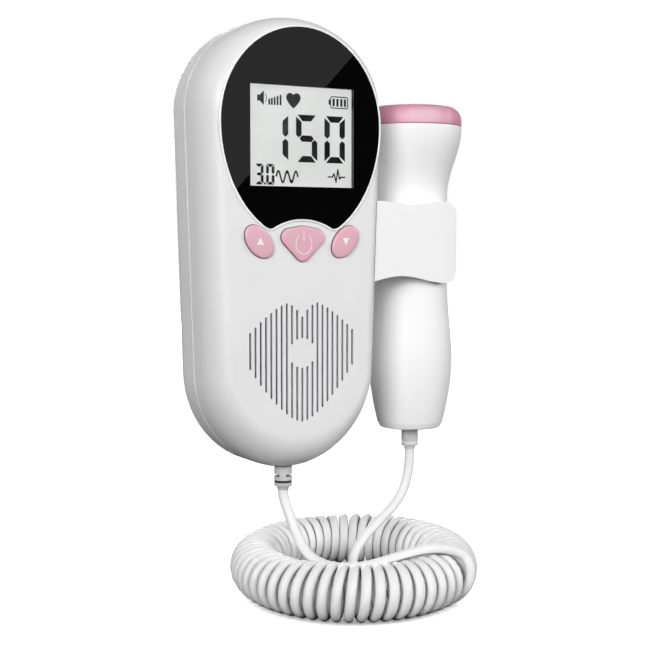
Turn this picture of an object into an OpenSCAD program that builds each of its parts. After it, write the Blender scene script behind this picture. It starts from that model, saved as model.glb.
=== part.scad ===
// Fetal doppler monitor: main unit, probe in its clip, and a curly cord between them.
// X runs to the right, Y to the back and Z up. The origin is the centre of the unit's flat back face.
// The pieces of the main unit are drawn lying on the back face, with Z as the depth d towards
// the front face, and upright() stands them up.

/* [Main unit] */
// Height of the main unit
unit_h = 135; // [130:1:142]
// Thickness from the back face to the front face
unit_t = 32; // [31:0.5:35]
// Width across the upper end
upper_w = 60.6; // [58:0.2:64]
// Width across the lower end
lower_w = 55.4; // [53.4:0.2:58]
// Height of the arc that closes the upper end
upper_arc_h = 28.2; // [26:0.2:31]
// Height of the arc that closes the lower end
lower_arc_h = 29.8; // [28:0.2:33]
// How far the front edge rounding reaches in from the side and the upper end
front_round_in = 5.5; // [4:0.5:6]
// How far the front edge rounding reaches in from the lower end
lower_round_in = 11; // [8:0.5:12]
// How far the front edge rounding reaches back from the face
front_round_deep = 12; // [11:0.5:13]
// Radius of the back edge rounding
back_round = 9; // [6:0.5:10]
// Depth of the parting line, from the back face
seam_d = 15.5; // [14:0.5:17]
// Wall of both shells
shell_wall = 2.2; // [1.8:0.1:2.4]
// Height of the lip that centres the two shells
lip_h = 1.4; // [1:0.1:2]
// Thickness of that lip
lip_t = 0.9; // [0.7:0.1:1.1]
// Chamfer along both sides of the parting line
seam_chamfer = 0.3; // [0.1:0.1:0.5]

/* [Display] */
// Width of the lens
lens_w = 52.7; // [50:0.1:54]
// Height of the lens above its widest line
lens_up = 28; // [26:0.5:29]
// Height below the widest line that the lens would have without its arch
lens_down = 34; // [32:0.5:35]
// Distance of the lens's widest line below the unit's upper end
lens_drop = 32.2; // [31.5:0.1:33.5]
// Distance of the arch under the lens below the unit's upper end
arch_drop = 60; // [58.5:0.1:60.5]
// Radius of that arch
arch_r = 19.3; // [17:0.1:22]
// Radius of the two lower tips of the lens
lens_tip_r = 1.2; // [0.6:0.1:1.6]
// Thickness of the lens
lens_t = 1.5; // [1.2:0.1:1.6]
// How far the lens stands out of the face
lens_proud = 0.35; // [0.1:0.05:0.6]
// Width of the display window
window_w = 34.2; // [32:0.2:36]
// Height of the display window
window_h = 29.2; // [27:0.2:30]
// Distance of the window's centre below the unit's upper end
window_drop = 35.9; // [35.1:0.1:36.5]
// Thickness of the liquid crystal panel
panel_t = 2; // [1.6:0.1:2.4]
// Thickness of the light guide
guide_t = 3; // [2:0.1:3.2]
// Wall of the tray that holds the panel
tray_wall = 1; // [0.8:0.1:1.4]

/* [Buttons] */
// Distance of the outer buttons' centres below the unit's upper end
button_drop = 66.6; // [66.1:0.1:67.5]
// Distance of the middle button's centre below the unit's upper end
power_drop = 67.2; // [66.9:0.1:67.5]
// Distance of the outer buttons from the middle
side_button_x = 14.4; // [14:0.1:15.4]
// Length of an outer button
side_button_len = 11.2; // [9:0.1:11.6]
// Width of an outer button
side_button_w = 7.4; // [6:0.1:7.8]
// Slant of the outer buttons
side_button_slant = 49; // [35:1:60]
// Width of the middle button
power_w = 14.4; // [12:0.1:15]
// Height of the middle button
power_h = 10.6; // [9:0.1:11]
// How far the buttons stand out of the face
button_proud = 0.8; // [0.5:0.1:1.2]
// Travel of a button
button_travel = 0.6; // [0.3:0.1:0.7]
// Gap between a button and its hole
button_gap = 0.15; // [0.1:0.05:0.25]

/* [Speaker] */
// Height of the grille's centre above the unit's lower end
grille_rise = 35.5; // [33.5:0.5:36.5]
// Distance between two slots
slot_pitch = 1.717; // [1.6:0.001:1.8]
// Width of a slot
slot_w = 0.7; // [0.5:0.05:0.9]
// Number of slots on each side of the middle one
slots_each_side = 10; // [8:1:10]
// Radius of the blank disc in the middle of the grille
blank_r = 4.3; // [3:0.1:5]
// Radius of the speaker's rim
speaker_r = 15.5; // [13:0.5:15.5]
// Depth of the speaker's basket behind its rim
basket_h = 5.6; // [4:0.1:6]
// Radius of the speaker's magnet
magnet_r = 8.5; // [6:0.5:9.5]
// Thickness of the speaker's magnet
magnet_t = 4.2; // [3:0.1:4.4]

/* [Batteries] */
// Diameter of a cell
cell_dia = 10.5; // [10.3:0.1:10.5]
// Length of a cell with its nub
cell_len = 44.5; // [43.3:0.1:44.5]
// Height of the cells' centre above the unit's centre
bay_y = -18; // [-18.4:0.1:-17]
// Width of the battery door
door_w = 27; // [26.8:0.1:28]
// Thickness of the battery door
door_t = 2.4; // [2:0.1:2.6]
// How far the door reaches past the bay at each end
door_margin = 3; // [2.6:0.1:3.2]
// Radius of the door's hinge pins
hinge_pin_r = 0.7; // [0.5:0.05:0.8]
// Running clearance of the hinge pins
hinge_gap = 0.05; // [0.03:0.01:0.1]

/* [Boards and screws] */
// Thickness of the circuit boards
board_t = 1.6; // [1:0.1:1.8]
// Distance of the main board from the inside of the front wall
board_gap = 9.3; // [9.3:0.1:9.8]
// Radius of the case screws' shanks
case_screw_r = 1.05; // [0.9:0.05:1.2]
// Radius of the case screws' heads
case_head_r = 2.2; // [2:0.1:2.4]
// Radius of the bosses for the case screws
boss_r = 2.75; // [2.5:0.05:2.8]
// Bore of the headphone jack
jack_bore_r = 1.75; // [1.25:0.05:1.8]
// Depth of the jack's bore
jack_depth = 12; // [10:0.5:12]

/* [Clip] */
// Gap between the clip's channel and the probe's neck
clip_gap = 0.3; // [0.2:0.05:0.4]
// Wall of the clip's arms
clip_wall = 2.5; // [1.8:0.1:2.6]
// How far the arms reach past the probe's axis
arm_reach = 8.4; // [6:0.1:10]
// Height of the clip's upper edge at its corners
clip_top = 13.4; // [11:0.2:14]
// Height of the clip's lower edge at its corner
clip_low = -12.1; // [-13:0.1:-10]

/* [Probe] */
// Distance of the probe's axis from the unit's centre line
probe_x = 48.6; // [48:0.1:52]
// Depth of the probe's axis, from the unit's back face
probe_d = 16; // [15:0.5:17]
// Radius of the probe's head
head_r = 16.2; // [15:0.1:16.6]
// Radius of the probe's neck
neck_r = 11.8; // [11:0.1:12.2]
// Largest radius of the grip
grip_r = 13.5; // [12.6:0.1:14]
// Radius of the probe's lower end
tail_r = 10.1; // [8.6:0.1:11]
// Wall of the probe's shell
probe_wall = 1.9; // [1.6:0.1:2.2]
// Height of the joint between the shell and the head cap
cap_joint_z = 37.6; // [36:0.2:40]
// Height of the head cap
cap_h = 6.2; // [5:0.1:7]
// Height of the probe's lower end, below zero
probe_low_z = -59.2; // [-61:0.1:-58]

/* [Cord] */
// Diameter of the wire
wire_d = 3.1; // [2.8:0.1:3.4]
// Radius of the strain reliefs
relief_r = 2.7; // [2.4:0.1:3]
// Length of the strain reliefs outside the wall
relief_len = 6.2; // [5:0.1:6.2]
// Outer radius of the curled cord
coil_r = 8.4; // [7:0.1:8.4]

/* [Hidden] */
$fn = 64;
arc_steps = 30;
round_steps = 10;
slack = 0.1;
cut = 1;

// Places in the unit's depth and height that several pieces share
lens_y = unit_h / 2 - lens_drop;
arch_y = unit_h / 2 - arch_drop;
window_y = unit_h / 2 - window_drop;
button_y = unit_h / 2 - button_drop;
power_y = unit_h / 2 - power_drop;
grille_y = grille_rise - unit_h / 2;
upper_arc_y = unit_h / 2 - upper_arc_h;
lower_arc_y = lower_arc_h - unit_h / 2;
inner_face_d = unit_t - shell_wall;
board_front_d = inner_face_d - board_gap;
board_back_d = board_front_d - board_t;
lens_back_d = unit_t + lens_proud - lens_t;
panel_front_d = inner_face_d - 0.2;
panel_back_d = panel_front_d - panel_t;
guide_back_d = panel_back_d - slack - guide_t;
panel_w = window_w + 3.8;
panel_h = window_h + 3.8;
tray_w = panel_w + 2 * (tray_wall + slack);
tray_h = panel_h + 2 * (tray_wall + slack);
button_flange_d = inner_face_d - 0.2;
flange_t = 1;
flange_rim = 0.8;
step_in = 0.35;
switch_h = 3.5;
switch_w = 6;
stem_r = 1.4;
stem_top_d = board_front_d + switch_h + 1.3;
switch_places = [[-side_button_x, button_y], [0, power_y], [side_button_x, button_y]];
speaker_y = grille_y - 2;
rim_front_d = inner_face_d - 0.15;
rim_t = 2;
plate_t = 0.5;
spring_len = 4;
bay_len = cell_len + spring_len + 2 * plate_t + 0.3;
bay_w = 2 * cell_dia + 1.4;
cell_axis_d = door_t + 0.8 + cell_dia / 2;
bay_floor_d = cell_axis_d + cell_dia / 2 + 0.15;
bay_floor_t = 1.3;
bay_low_y = bay_y - bay_len / 2;
door_low_y = bay_low_y - door_margin;
door_high_y = bay_y + bay_len / 2 + door_margin;
hinge_d = door_t / 2;
door_gap = 0.15;
hinge_y = door_low_y + hinge_d;
pin_out = 1.2;
upper_boss = [12, unit_h / 2 - 10.5];
lower_boss = [speaker_r + 4, speaker_y];
boss_split_d = seam_d - 1;
head_seat_d = 6;
head_t = 1.8;
board_half_w = tray_w / 2 - 0.1;
board_margin = 4.8;
board_tail = 11.8;
board_low_y = power_y - board_tail;
board_top_y = window_y + tray_h / 2 + board_margin;
jack_half_w = 3.2;
tongue_w = 2 * jack_half_w + 4.6;
tongue_top_y = unit_h / 2 - shell_wall - 3.3;
standoff_r = 1.9;
standoff_in = 2.5;
standoff_x = board_half_w - 1.6 * standoff_in;
standoffs = [for (y = [board_low_y + standoff_in, board_top_y - standoff_in], s = [-1, 1])
    [s * standoff_x, y]];
board_screw_r = 0.7;
// Chips on the back of the board: middle from the window's centre, size and thickness
chips = [[-8, 2.4, 10, 10, 1.4], [7, 4.4, 7, 5, 1.2], [8, -11.6, 8, 6, 1.2], [-8, -15.6, 6, 5, 1]];
jack_d = board_front_d + 2.6;
relief_d = 19.5;
relief_hole_r = 2.1;
relief_tip = 1.2;
clip_screw_d = 11;
clip_screws_z = [8, -6];
clip_screw_r = 0.95;
clip_screw_len = 7;
channel_r = neck_r + clip_gap;
probe_top_z = cap_joint_z + slack / 2 + cap_h;

// The ring of curled cord: its centre, half widths across and along the line of sight, and turn
ring_centre = [24, -21.5, -100.4];
ring_across = 30.5;
ring_along = 35;
ring_turn = -30;

// Route of the cord from the unit's strain relief to the ring, chosen by hand
unit_lead_route = [
    [0, -19.5, -74.9], [0, -19.5, -76.4], [0.4, -20, -79], [1.2, -21.2, -82.5], [2, -23.4, -87],
    [2.6, -26.4, -91], [3.4, -30.4, -94], [5.2, -35, -95.6], [7.6, -39.6, -95.8],
    [10.6, -43.2, -95.4], [15, -46, -94.7], [20.2, -47.9, -93.2], [26.4, -49.6, -91.6],
    [32.4, -51.4, -90.3], [37.6, -53.3, -90.6], [41.4, -55.6, -92.6]];
// Route of the cord from the probe's strain relief to the inner side of the ring
probe_lead_route = [
    [48.6, -16, -66.6], [48.6, -16, -68.2], [48.4, -16.1, -71.6], [47.4, -16.3, -76.5], [44.8, -16.8, -82],
    [39.6, -17.4, -86.2], [34.2, -18, -89.8], [28.8, -18.6, -94], [24.8, -19.8, -98.4],
    [22.6, -22.4, -103], [22.4, -27.6, -106.4], [25, -35.4, -107.2], [30.2, -44.4, -107.2]];

// ---------- outlines and solids that repeat ----------

// Stands a piece that is drawn lying on its back
module upright() {
    rotate([90, 0, 0]) children();
}

// Extrudes a face outline between two depths
module layer(d0, d1) {
    translate([0, 0, d0]) linear_extrude(height = d1 - d0) children();
}

// Outline of the unit seen from the front, drawn in by an inset, and by a rise more at its lower end
function unit_outline(inset, rise = 0) = concat(
    [for (i = [0 : arc_steps]) let (a = 180 * i / arc_steps)
        [(upper_w / 2 - inset) * cos(a), upper_arc_y + (upper_arc_h - inset) * sin(a)]],
    [for (i = [0 : arc_steps]) let (a = 180 + 180 * i / arc_steps)
        [(lower_w / 2 - inset) * cos(a), lower_arc_y + (lower_arc_h - inset - rise) * sin(a)]]);

// Half width of the unit at a height, for pieces that meet its side
function side_x(y) = lower_w / 2 + (upper_w - lower_w) / 2
    * (y - lower_arc_y) / (upper_arc_y - lower_arc_y);

// Closed solid through rings of points, each ring counterclockwise seen from the last one's side
module skin(rings) {
    m = len(rings[0]);
    n = len(rings);
    sides = [for (i = [0 : n - 2], j = [0 : m - 1]) let (k = (j + 1) % m)
        [i * m + j, (i + 1) * m + j, (i + 1) * m + k, i * m + k]];
    first = [[for (j = [0 : m - 1]) j]];
    last = [[for (j = [0 : m - 1]) n * m - 1 - j]];
    polyhedron(points = [for (r = rings) each r], faces = concat(first, sides, last), convexity = 6);
}

// Solid through the unit's outline, each section given as [depth, inset] or [depth, inset, rise]
module unit_loft(sections) {
    skin([for (s = sections) let (rise = len(s) > 2 ? s[2] : 0)
        [for (p = unit_outline(s[1], rise)) [p[0], p[1], s[0]]]]);
}

// Sections of the front and back edge roundings, drawn in by a wall
function front_round(w) = [for (i = [0 : round_steps]) let (a = 90 * i / round_steps)
    [unit_t - front_round_deep + (front_round_deep - w) * sin(a), w + front_round_in * (1 - cos(a)),
        (lower_round_in - front_round_in) * (1 - cos(a))]];
function back_round_sections(w) = [for (i = [0 : round_steps]) let (a = 90 * i / round_steps)
    [w + (back_round - w) * (1 - cos(a)), w + (back_round - w) * (1 - sin(a))]];

// Points of an ellipse
function ellipse(a, b, steps = 48) =
    [for (i = [0 : steps - 1]) let (t = 360 * i / steps) [a * cos(t), b * sin(t)]];

// Lens outline: an egg with a shallow arch cut out of its lower end
module lens_outline(grow = 0) {
    offset(delta = grow) offset(r = lens_tip_r, $fn = 24) offset(delta = -lens_tip_r)
        difference() {
            translate([0, lens_y]) polygon(concat(
                [for (t = [0 : 5 : 179]) [lens_w / 2 * cos(t), lens_up * sin(t)]],
                [for (t = [180 : 5 : 359]) [lens_w / 2 * cos(t), lens_down * sin(t)]]));
            translate([0, arch_y - arch_r]) circle(r = arch_r, $fn = 96);
        }
}

// Rounded triangle of the middle button
module power_outline(grow = 0) {
    corner = 2.6;
    hull() {
        for (s = [-1, 1]) translate([s * (power_w / 2 - corner), power_h / 2 - corner - 0.8])
            circle(r = corner + grow, $fn = 32);
        translate([0, power_h / 2 - 1.6]) circle(r = 1.6 + grow, $fn = 32);
        translate([0, corner - power_h / 2]) circle(r = corner + grow, $fn = 32);
    }
}

// Slanted ellipse of the outer buttons; side is -1 on the left and 1 on the right
module side_outline(side, grow = 0) {
    rotate(side * side_button_slant)
        polygon(ellipse(side_button_len / 2 + grow, side_button_w / 2 + grow));
}

// A button: cap through the face with a stepped edge, rim behind the wall and post to its switch
module button_body() {
    step = 0.25;
    layer(button_flange_d - flange_t, button_flange_d) children(1);
    layer(button_flange_d, unit_t + button_proud - step) children(0);
    layer(unit_t + button_proud - step, unit_t + button_proud) children(2);
    layer(stem_top_d + slack, button_flange_d - flange_t) circle(r = 1.8);
}

// Height of the grille's upper and lower edge at a distance from its middle
function heart_top(x) = let (lobe = 5.15) x > lobe ? grille_y + 14.9 - 0.312 * pow(x - lobe, 1.32)
    : grille_y + 14.9 - 0.247 * pow(lobe - x, 1.7);
function heart_low(x) = grille_y - 20.6 + 0.204 * pow(x, 1.54);

// One upright slot with round ends
module slot(x, low, high) {
    translate([x - slot_w / 2, low + slot_w / 2]) square([slot_w, high - low - slot_w]);
    for (y = [low + slot_w / 2, high - slot_w / 2]) translate([x, y]) circle(d = slot_w, $fn = 16);
}

// The heart of slots, left blank in the middle
module grille_slots() {
    for (i = [-slots_each_side : slots_each_side]) {
        x = i * slot_pitch;
        top = heart_top(abs(x));
        low = heart_low(abs(x));
        blank = abs(x) < blank_r ? sqrt(blank_r * blank_r - x * x) : 0;
        if (blank > 1) {
            slot(x, low, grille_y - blank);
            slot(x, grille_y + blank, top);
        } else {
            slot(x, low, top);
        }
    }
}

// Places its children at both case screws of one height, mirrored
module at_bosses() {
    for (p = [upper_boss, lower_boss], s = [-1, 1]) translate([s * p[0], p[1], 0]) children();
}

// Tube of a wire along a route, swept with a frame that keeps its sides from twisting
function unit_vec(v) = v / norm(v);
function route_dir(r, i) = unit_vec(r[min(i + 1, len(r) - 1)] - r[max(i - 1, 0)]);
function carried_side(r, i, side) = unit_vec(side - route_dir(r, i) * (side * route_dir(r, i)));
function route_sides(r, i, side) = i == len(r) ? [] :
    let (s = carried_side(r, i, side)) concat([s], route_sides(r, i + 1, s));
module wire(route, radius, sides = 8) {
    across = route_sides(route, 0, [1, 0.02, 0]);
    skin([for (i = [0 : len(route) - 1]) let (u = across[i], v = cross(route_dir(route, i), u))
        [for (k = [0 : sides - 1]) let (a = 360 * k / sides)
            route[i] + radius * (cos(a) * u + sin(a) * v)]]);
}

// Strain relief hanging from a wall: flange inside, slotted body outside and a tapered tip
module strain_relief(wall_t) {
    flange = 1.2;
    slot_h = 0.7;
    web = 1.1;
    difference() {
        union() {
            translate([0, 0, wall_t + 0.6]) cylinder(r = relief_hole_r + 1.1, h = flange);
            translate([0, 0, -1]) cylinder(r = relief_hole_r - 0.05, h = wall_t + 1.7);
            translate([0, 0, -relief_len]) cylinder(r = relief_r, h = relief_len - slack / 2);
            translate([0, 0, -relief_len - relief_tip])
                cylinder(r1 = wire_d / 2 + 0.1, r2 = wire_d / 2 + 0.5, h = relief_tip);
        }
        for (s = [-1, 1]) {
            translate([s * (web + relief_r), 0, -relief_len * 0.45])
                cube([2 * relief_r, 3 * relief_r, slot_h], center = true);
            translate([0, s * (web + relief_r), -relief_len * 0.76])
                cube([3 * relief_r, 2 * relief_r, slot_h], center = true);
        }
    }
}

// ---------- main unit ----------

module front_shell() color("white") upright() difference() {
    union() {
        difference() {
            unit_loft(concat([[seam_d, seam_chamfer], [seam_d + seam_chamfer, 0]], front_round(0)));
            unit_loft(concat([[seam_d - cut, shell_wall]], front_round(shell_wall)));
        }
        difference() {
            unit_loft([[seam_d - lip_h, shell_wall - lip_t], [seam_d + 0.5, shell_wall - lip_t]]);
            unit_loft([[seam_d - lip_h - cut, shell_wall], [seam_d + cut, shell_wall]]);
        }
        at_bosses() layer(boss_split_d, inner_face_d + 0.3) circle(r = boss_r);
        for (p = standoffs) translate([p[0], p[1], board_front_d])
            cylinder(r = standoff_r, h = board_gap + 0.3);
        translate([0, speaker_y, rim_front_d - rim_t - 0.8]) difference() {
            cylinder(r = speaker_r + 1.15, h = rim_t + 1.2);
            translate([0, 0, -cut]) cylinder(r = speaker_r + 0.15, h = rim_t + 1.2 + 2 * cut);
        }
    }
    layer(lens_back_d - 0.05, unit_t + cut) lens_outline(slack);
    translate([0, window_y, inner_face_d - cut]) linear_extrude(height = shell_wall + cut)
        square([window_w + 1, window_h + 1], center = true);
    layer(inner_face_d - cut, unit_t + cut) {
        translate([0, power_y]) power_outline(button_gap);
        for (s = [-1, 1]) translate([s * side_button_x, button_y]) side_outline(s, button_gap);
    }
    layer(inner_face_d - cut, unit_t + cut) grille_slots();
    at_bosses() layer(boss_split_d - cut, inner_face_d - 2) circle(r = case_screw_r + 0.05);
    for (p = standoffs) translate([p[0], p[1], board_front_d - cut])
        cylinder(r = board_screw_r + 0.05, h = 6 + cut);
    translate([0, upper_arc_y + upper_arc_h - 6, jack_d]) rotate([-90, 0, 0])
        cylinder(r = jack_bore_r + 0.8, h = 10);
    translate([0, -unit_h / 2 - cut, relief_d]) rotate([-90, 0, 0])
        cylinder(r = relief_hole_r, h = shell_wall + 2 * cut);
}

module back_shell() color("white") upright() difference() {
    union() {
        difference() {
            unit_loft(concat(back_round_sections(0), [[seam_d - seam_chamfer, 0], [seam_d, seam_chamfer]]));
            unit_loft(concat(back_round_sections(shell_wall), [[seam_d + cut, shell_wall]]));
            unit_loft([[seam_d - lip_h - slack, shell_wall - lip_t - slack],
                [seam_d + cut, shell_wall - lip_t - slack]]);
        }
        translate([-door_w / 2 - 2.2, door_low_y - 1.4, 1])
            cube([door_w + 4.4, door_high_y - door_low_y + 2.8, bay_floor_d + bay_floor_t - 1]);
        at_bosses() layer(1.5, boss_split_d - slack) circle(r = boss_r + 0.45);
    }
    translate([-bay_w / 2, bay_low_y, -cut]) cube([bay_w, bay_len, bay_floor_d + cut]);
    translate([-door_w / 2 - door_gap, door_low_y - door_gap, -cut])
        cube([door_w + 2 * door_gap, door_high_y - door_low_y + 2 * door_gap, door_t + slack + cut]);
    translate([0, hinge_y, hinge_d]) rotate([0, 90, 0])
        cylinder(r = hinge_pin_r + hinge_gap, h = door_w + 2 * pin_out + 0.2, center = true);
    at_bosses() layer(-cut, head_seat_d) circle(r = case_head_r + 0.2);
    at_bosses() layer(0, seam_d + cut) circle(r = case_screw_r + 0.2);
    for (z = clip_screws_z) translate([side_x(z) - shell_wall - 3, z, clip_screw_d]) rotate([0, 90, 0])
        cylinder(r = clip_screw_r + 0.15, h = shell_wall + 6);
}

module battery_door() color("white") upright() {
    difference() {
        translate([-door_w / 2, hinge_y, 0]) cube([door_w, door_high_y - hinge_y, door_t]);
        for (i = [0 : 4]) translate([-6, door_high_y - 6 - 2 * i, -cut]) cube([12, 0.8, cut + 0.5]);
    }
    translate([0, hinge_y, hinge_d]) rotate([0, 90, 0]) cylinder(r = hinge_d, h = door_w, center = true);
    translate([0, hinge_y, hinge_d]) rotate([0, 90, 0])
        cylinder(r = hinge_pin_r, h = door_w + 2 * pin_out, center = true);
}

module lens_window() color([0.04, 0.04, 0.05]) upright()
    layer(lens_back_d, lens_back_d + lens_t) lens_outline();

module lcd_glass() color([0.85, 0.87, 0.87]) upright()
    translate([0, window_y, panel_back_d]) linear_extrude(height = panel_t)
        square([panel_w, panel_h], center = true);

module lcd_backlight() color("white") upright()
    translate([-panel_w / 2, window_y - panel_h / 2 + 3, guide_back_d])
        cube([panel_w, panel_h - 3, guide_t]);

module lcd_frame() color([0.9, 0.9, 0.88]) upright() difference() {
    translate([0, window_y, board_front_d]) linear_extrude(height = panel_front_d - 0.2 - board_front_d)
        square([tray_w, tray_h], center = true);
    translate([0, window_y, guide_back_d]) linear_extrude(height = board_gap)
        square([panel_w + 2 * slack, panel_h + 2 * slack], center = true);
    translate([-panel_w / 2 + 3, window_y - panel_h / 2 + 5, board_front_d - cut])
        cube([panel_w - 6, panel_h - 8, board_gap]);
    translate([-panel_w / 2 + 2, window_y - panel_h / 2, board_front_d - cut])
        cube([panel_w - 4, 2.6, board_gap]);
}

module lcd_connector() color([0.9, 0.55, 0.6]) upright()
    translate([-panel_w / 2 + 2.2, window_y - panel_h / 2 + 0.3, board_front_d])
        cube([panel_w - 4.4, 2.1, panel_back_d - board_front_d]);

module main_board() color([0.1, 0.4, 0.25]) upright() difference() {
    layer(board_back_d, board_front_d) {
        translate([-board_half_w, board_low_y]) square([2 * board_half_w, board_top_y - board_low_y]);
        translate([-tongue_w / 2, board_top_y - cut]) square([tongue_w, tongue_top_y - board_top_y + cut]);
    }
    for (p = standoffs) translate([p[0], p[1], board_back_d - cut])
        cylinder(r = board_screw_r + 0.3, h = board_t + 2 * cut);
}

module board_chips() color([0.12, 0.12, 0.13]) upright() {
    for (c = chips) translate([c[0] - c[2] / 2, window_y + c[1] - c[3] / 2, board_back_d - c[4]])
        cube([c[2], c[3], c[4]]);
}

module board_screws() color("silver") upright()
    for (p = standoffs) translate([p[0], p[1], 0]) {
        layer(board_back_d - 1.1, board_back_d) circle(r = 1.4);
        layer(board_back_d - 0.1, board_back_d + board_t + 4.5) circle(r = board_screw_r);
    }

module key_switches() color([0.2, 0.2, 0.22]) upright()
    for (p = switch_places) translate([p[0], p[1], board_front_d]) difference() {
        translate([-switch_w / 2, -switch_w / 2, 0]) cube([switch_w, switch_w, switch_h]);
        translate([0, 0, 0.6]) cylinder(r = stem_r + 0.05, h = switch_h);
    }

// The plunger of one switch
module stem(place) {
    low = board_front_d + 0.6 + button_travel + slack;
    color([0.85, 0.82, 0.75]) upright() translate([place[0], place[1], low])
        cylinder(r = stem_r, h = stem_top_d - low);
}

module up_stem() stem(switch_places[0]);
module power_stem() stem(switch_places[1]);
module down_stem() stem(switch_places[2]);

module power_button() color([0.93, 0.72, 0.79]) upright() translate([0, power_y, 0]) button_body() {
    power_outline();
    power_outline(flange_rim);
    power_outline(-step_in);
}

module side_button(s) {
    color([0.93, 0.72, 0.79]) upright() translate([s * side_button_x, button_y, 0]) button_body() {
        side_outline(s);
        side_outline(s, flange_rim);
        side_outline(s, -step_in);
    }
}

module up_button() side_button(-1);
module down_button() side_button(1);

// ---------- speaker, jack and batteries ----------

// Turned piece on the speaker's axis, from points [radius, depth]
module speaker_turning(points) {
    upright() translate([0, speaker_y, 0]) rotate_extrude() polygon(points);
}

module speaker_frame() color([0.25, 0.25, 0.27]) speaker_turning([
    [speaker_r, rim_front_d], [speaker_r, rim_front_d - rim_t],
    [magnet_r + 2, rim_front_d - basket_h - 1], [0, rim_front_d - basket_h - 1],
    [0, rim_front_d - basket_h], [magnet_r + 1, rim_front_d - basket_h],
    [speaker_r - 2, rim_front_d - rim_t], [speaker_r - 2, rim_front_d]]);

module speaker_cone() color([0.1, 0.1, 0.11]) speaker_turning([
    [speaker_r - 2.1, rim_front_d - 0.4], [speaker_r - 2.1, rim_front_d - 0.9],
    [magnet_r / 2, rim_front_d - basket_h + 0.8], [0, rim_front_d - basket_h + 1.6],
    [0, rim_front_d - basket_h + 2.2], [magnet_r / 2 + 0.2, rim_front_d - basket_h + 1.5]]);

module speaker_magnet() color([0.35, 0.35, 0.37]) speaker_turning([
    [0, rim_front_d - basket_h - 1], [magnet_r, rim_front_d - basket_h - 1],
    [magnet_r, rim_front_d - basket_h - 1 - magnet_t], [0, rim_front_d - basket_h - 1 - magnet_t]]);

module headphone_jack() color([0.15, 0.15, 0.16]) upright() {
    mouth = unit_h / 2 - 0.9;
    body_top = unit_h / 2 - shell_wall - 1.7;
    difference() {
        union() {
            translate([-jack_half_w, body_top - jack_depth, board_front_d])
                cube([2 * jack_half_w, jack_depth, 5.2]);
            translate([0, body_top - 1, jack_d]) rotate([-90, 0, 0])
                cylinder(r = jack_bore_r + 0.7, h = mouth - body_top + 1);
        }
        translate([0, mouth - jack_depth, jack_d]) rotate([-90, 0, 0])
            cylinder(r = jack_bore_r, h = jack_depth + cut);
    }
}

// Places its children on both cells' axes, the second one turned end for end
module at_cells() {
    for (s = [-1, 1]) translate([s * (cell_dia / 2 + 0.3), bay_y, cell_axis_d])
        rotate([s * 90, 0, 0]) children();
}

module battery_cells() color([0.25, 0.35, 0.3]) upright() at_cells() {
    shift = (spring_len - 0.1) / 2;
    translate([0, 0, shift - cell_len / 2]) cylinder(d = cell_dia, h = cell_len - 1.2);
    translate([0, 0, shift + cell_len / 2 - 1.3]) cylinder(r = 1.9, h = 1.3);
}

module cell_contacts() color([0.8, 0.78, 0.7]) upright() {
    low = bay_low_y + 0.05;
    high = bay_low_y + bay_len - plate_t - 0.05;
    translate([-bay_w / 2 + 0.4, high, cell_axis_d - 4]) cube([bay_w - 0.8, plate_t, 8]);
    for (s = [-1, 1]) translate([s * (cell_dia / 2 + 0.3) - 4.4, low, cell_axis_d - 4])
        cube([8.8, plate_t, 8]);
}

module cell_springs() color([0.8, 0.8, 0.8]) upright() at_cells() {
    turns = 3;
    steps = 12 * turns;
    base = -bay_len / 2 + plate_t + 0.5;
    rise = spring_len - 0.9;
    wire([for (i = [0 : steps]) let (a = 360 * turns * i / steps, r = 3.4 - 1.2 * i / steps)
        [r * cos(a), r * sin(a), base + rise * i / steps]], 0.35, 6);
}

module case_screws() color("silver") upright() at_bosses() {
    layer(head_seat_d - head_t, head_seat_d) circle(r = case_head_r);
    layer(head_seat_d - 0.1, inner_face_d - 4) circle(r = case_screw_r);
}

// ---------- clip ----------

// Outline of one arm's outer face, from the unit's side to its tip, for y above or below the axis
function arm_points(s) = concat([[20, s * (channel_r + clip_wall)]],
    [for (i = [0 : 6]) let (t = i / 6)
        [probe_x + arm_reach * t, s * (channel_r + clip_wall - 0.9 * t * t)]]);

// Side view of the clip: wavy upper and lower edges and rounded corners at the tips
module clip_side() {
    tip = probe_x + arm_reach;
    corner = 4;
    polygon(concat(
        [for (x = [22 : 2 : 52]) [x, clip_top - 0.55 + 0.55 * cos(360 * (x - 27) / 26)]],
        [for (a = [90 : -15 : 0]) [tip - corner + corner * cos(a), clip_top - corner + corner * sin(a)]],
        [for (a = [0 : -15 : -90]) [tip - corner + corner * cos(a), clip_low + corner + corner * sin(a)]],
        [for (x = [52 : -2 : 22]) [x, clip_low + 1.2 + 1.2 * cos(360 * (x - 35.8) / 33.4)]]));
}

module probe_holder() color("white") difference() {
    intersection() {
        translate([0, -probe_d, clip_low - 1]) linear_extrude(height = clip_top - clip_low + 2) difference() {
            polygon(concat(arm_points(-1), [for (i = [7 : -1 : 0]) arm_points(1)[i]]));
            translate([probe_x, 0]) circle(r = channel_r, $fn = 96);
            translate([probe_x, -channel_r]) square([30, 2 * channel_r]);
        }
        upright() layer(0, unit_t) clip_side();
    }
    upright() unit_loft(concat([for (s = back_round_sections(0)) [s[0] - slack, s[1] - slack]],
        [for (s = front_round(0)) [s[0] + slack, s[1] - slack, s[2]]]));
    for (z = clip_screws_z) translate([side_x(z) - cut, -clip_screw_d, z]) rotate([0, 90, 0])
        cylinder(r = clip_screw_r + 0.05, h = clip_screw_len + cut);
}

module holder_screws() color("silver")
    for (z = clip_screws_z) translate([side_x(z) - shell_wall - 0.25, -clip_screw_d, z]) rotate([0, 90, 0]) {
        translate([0, 0, -1.3]) cylinder(r = 1.9, h = 1.3);
        cylinder(r = clip_screw_r, h = shell_wall + clip_screw_len - 1);
    }

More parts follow.
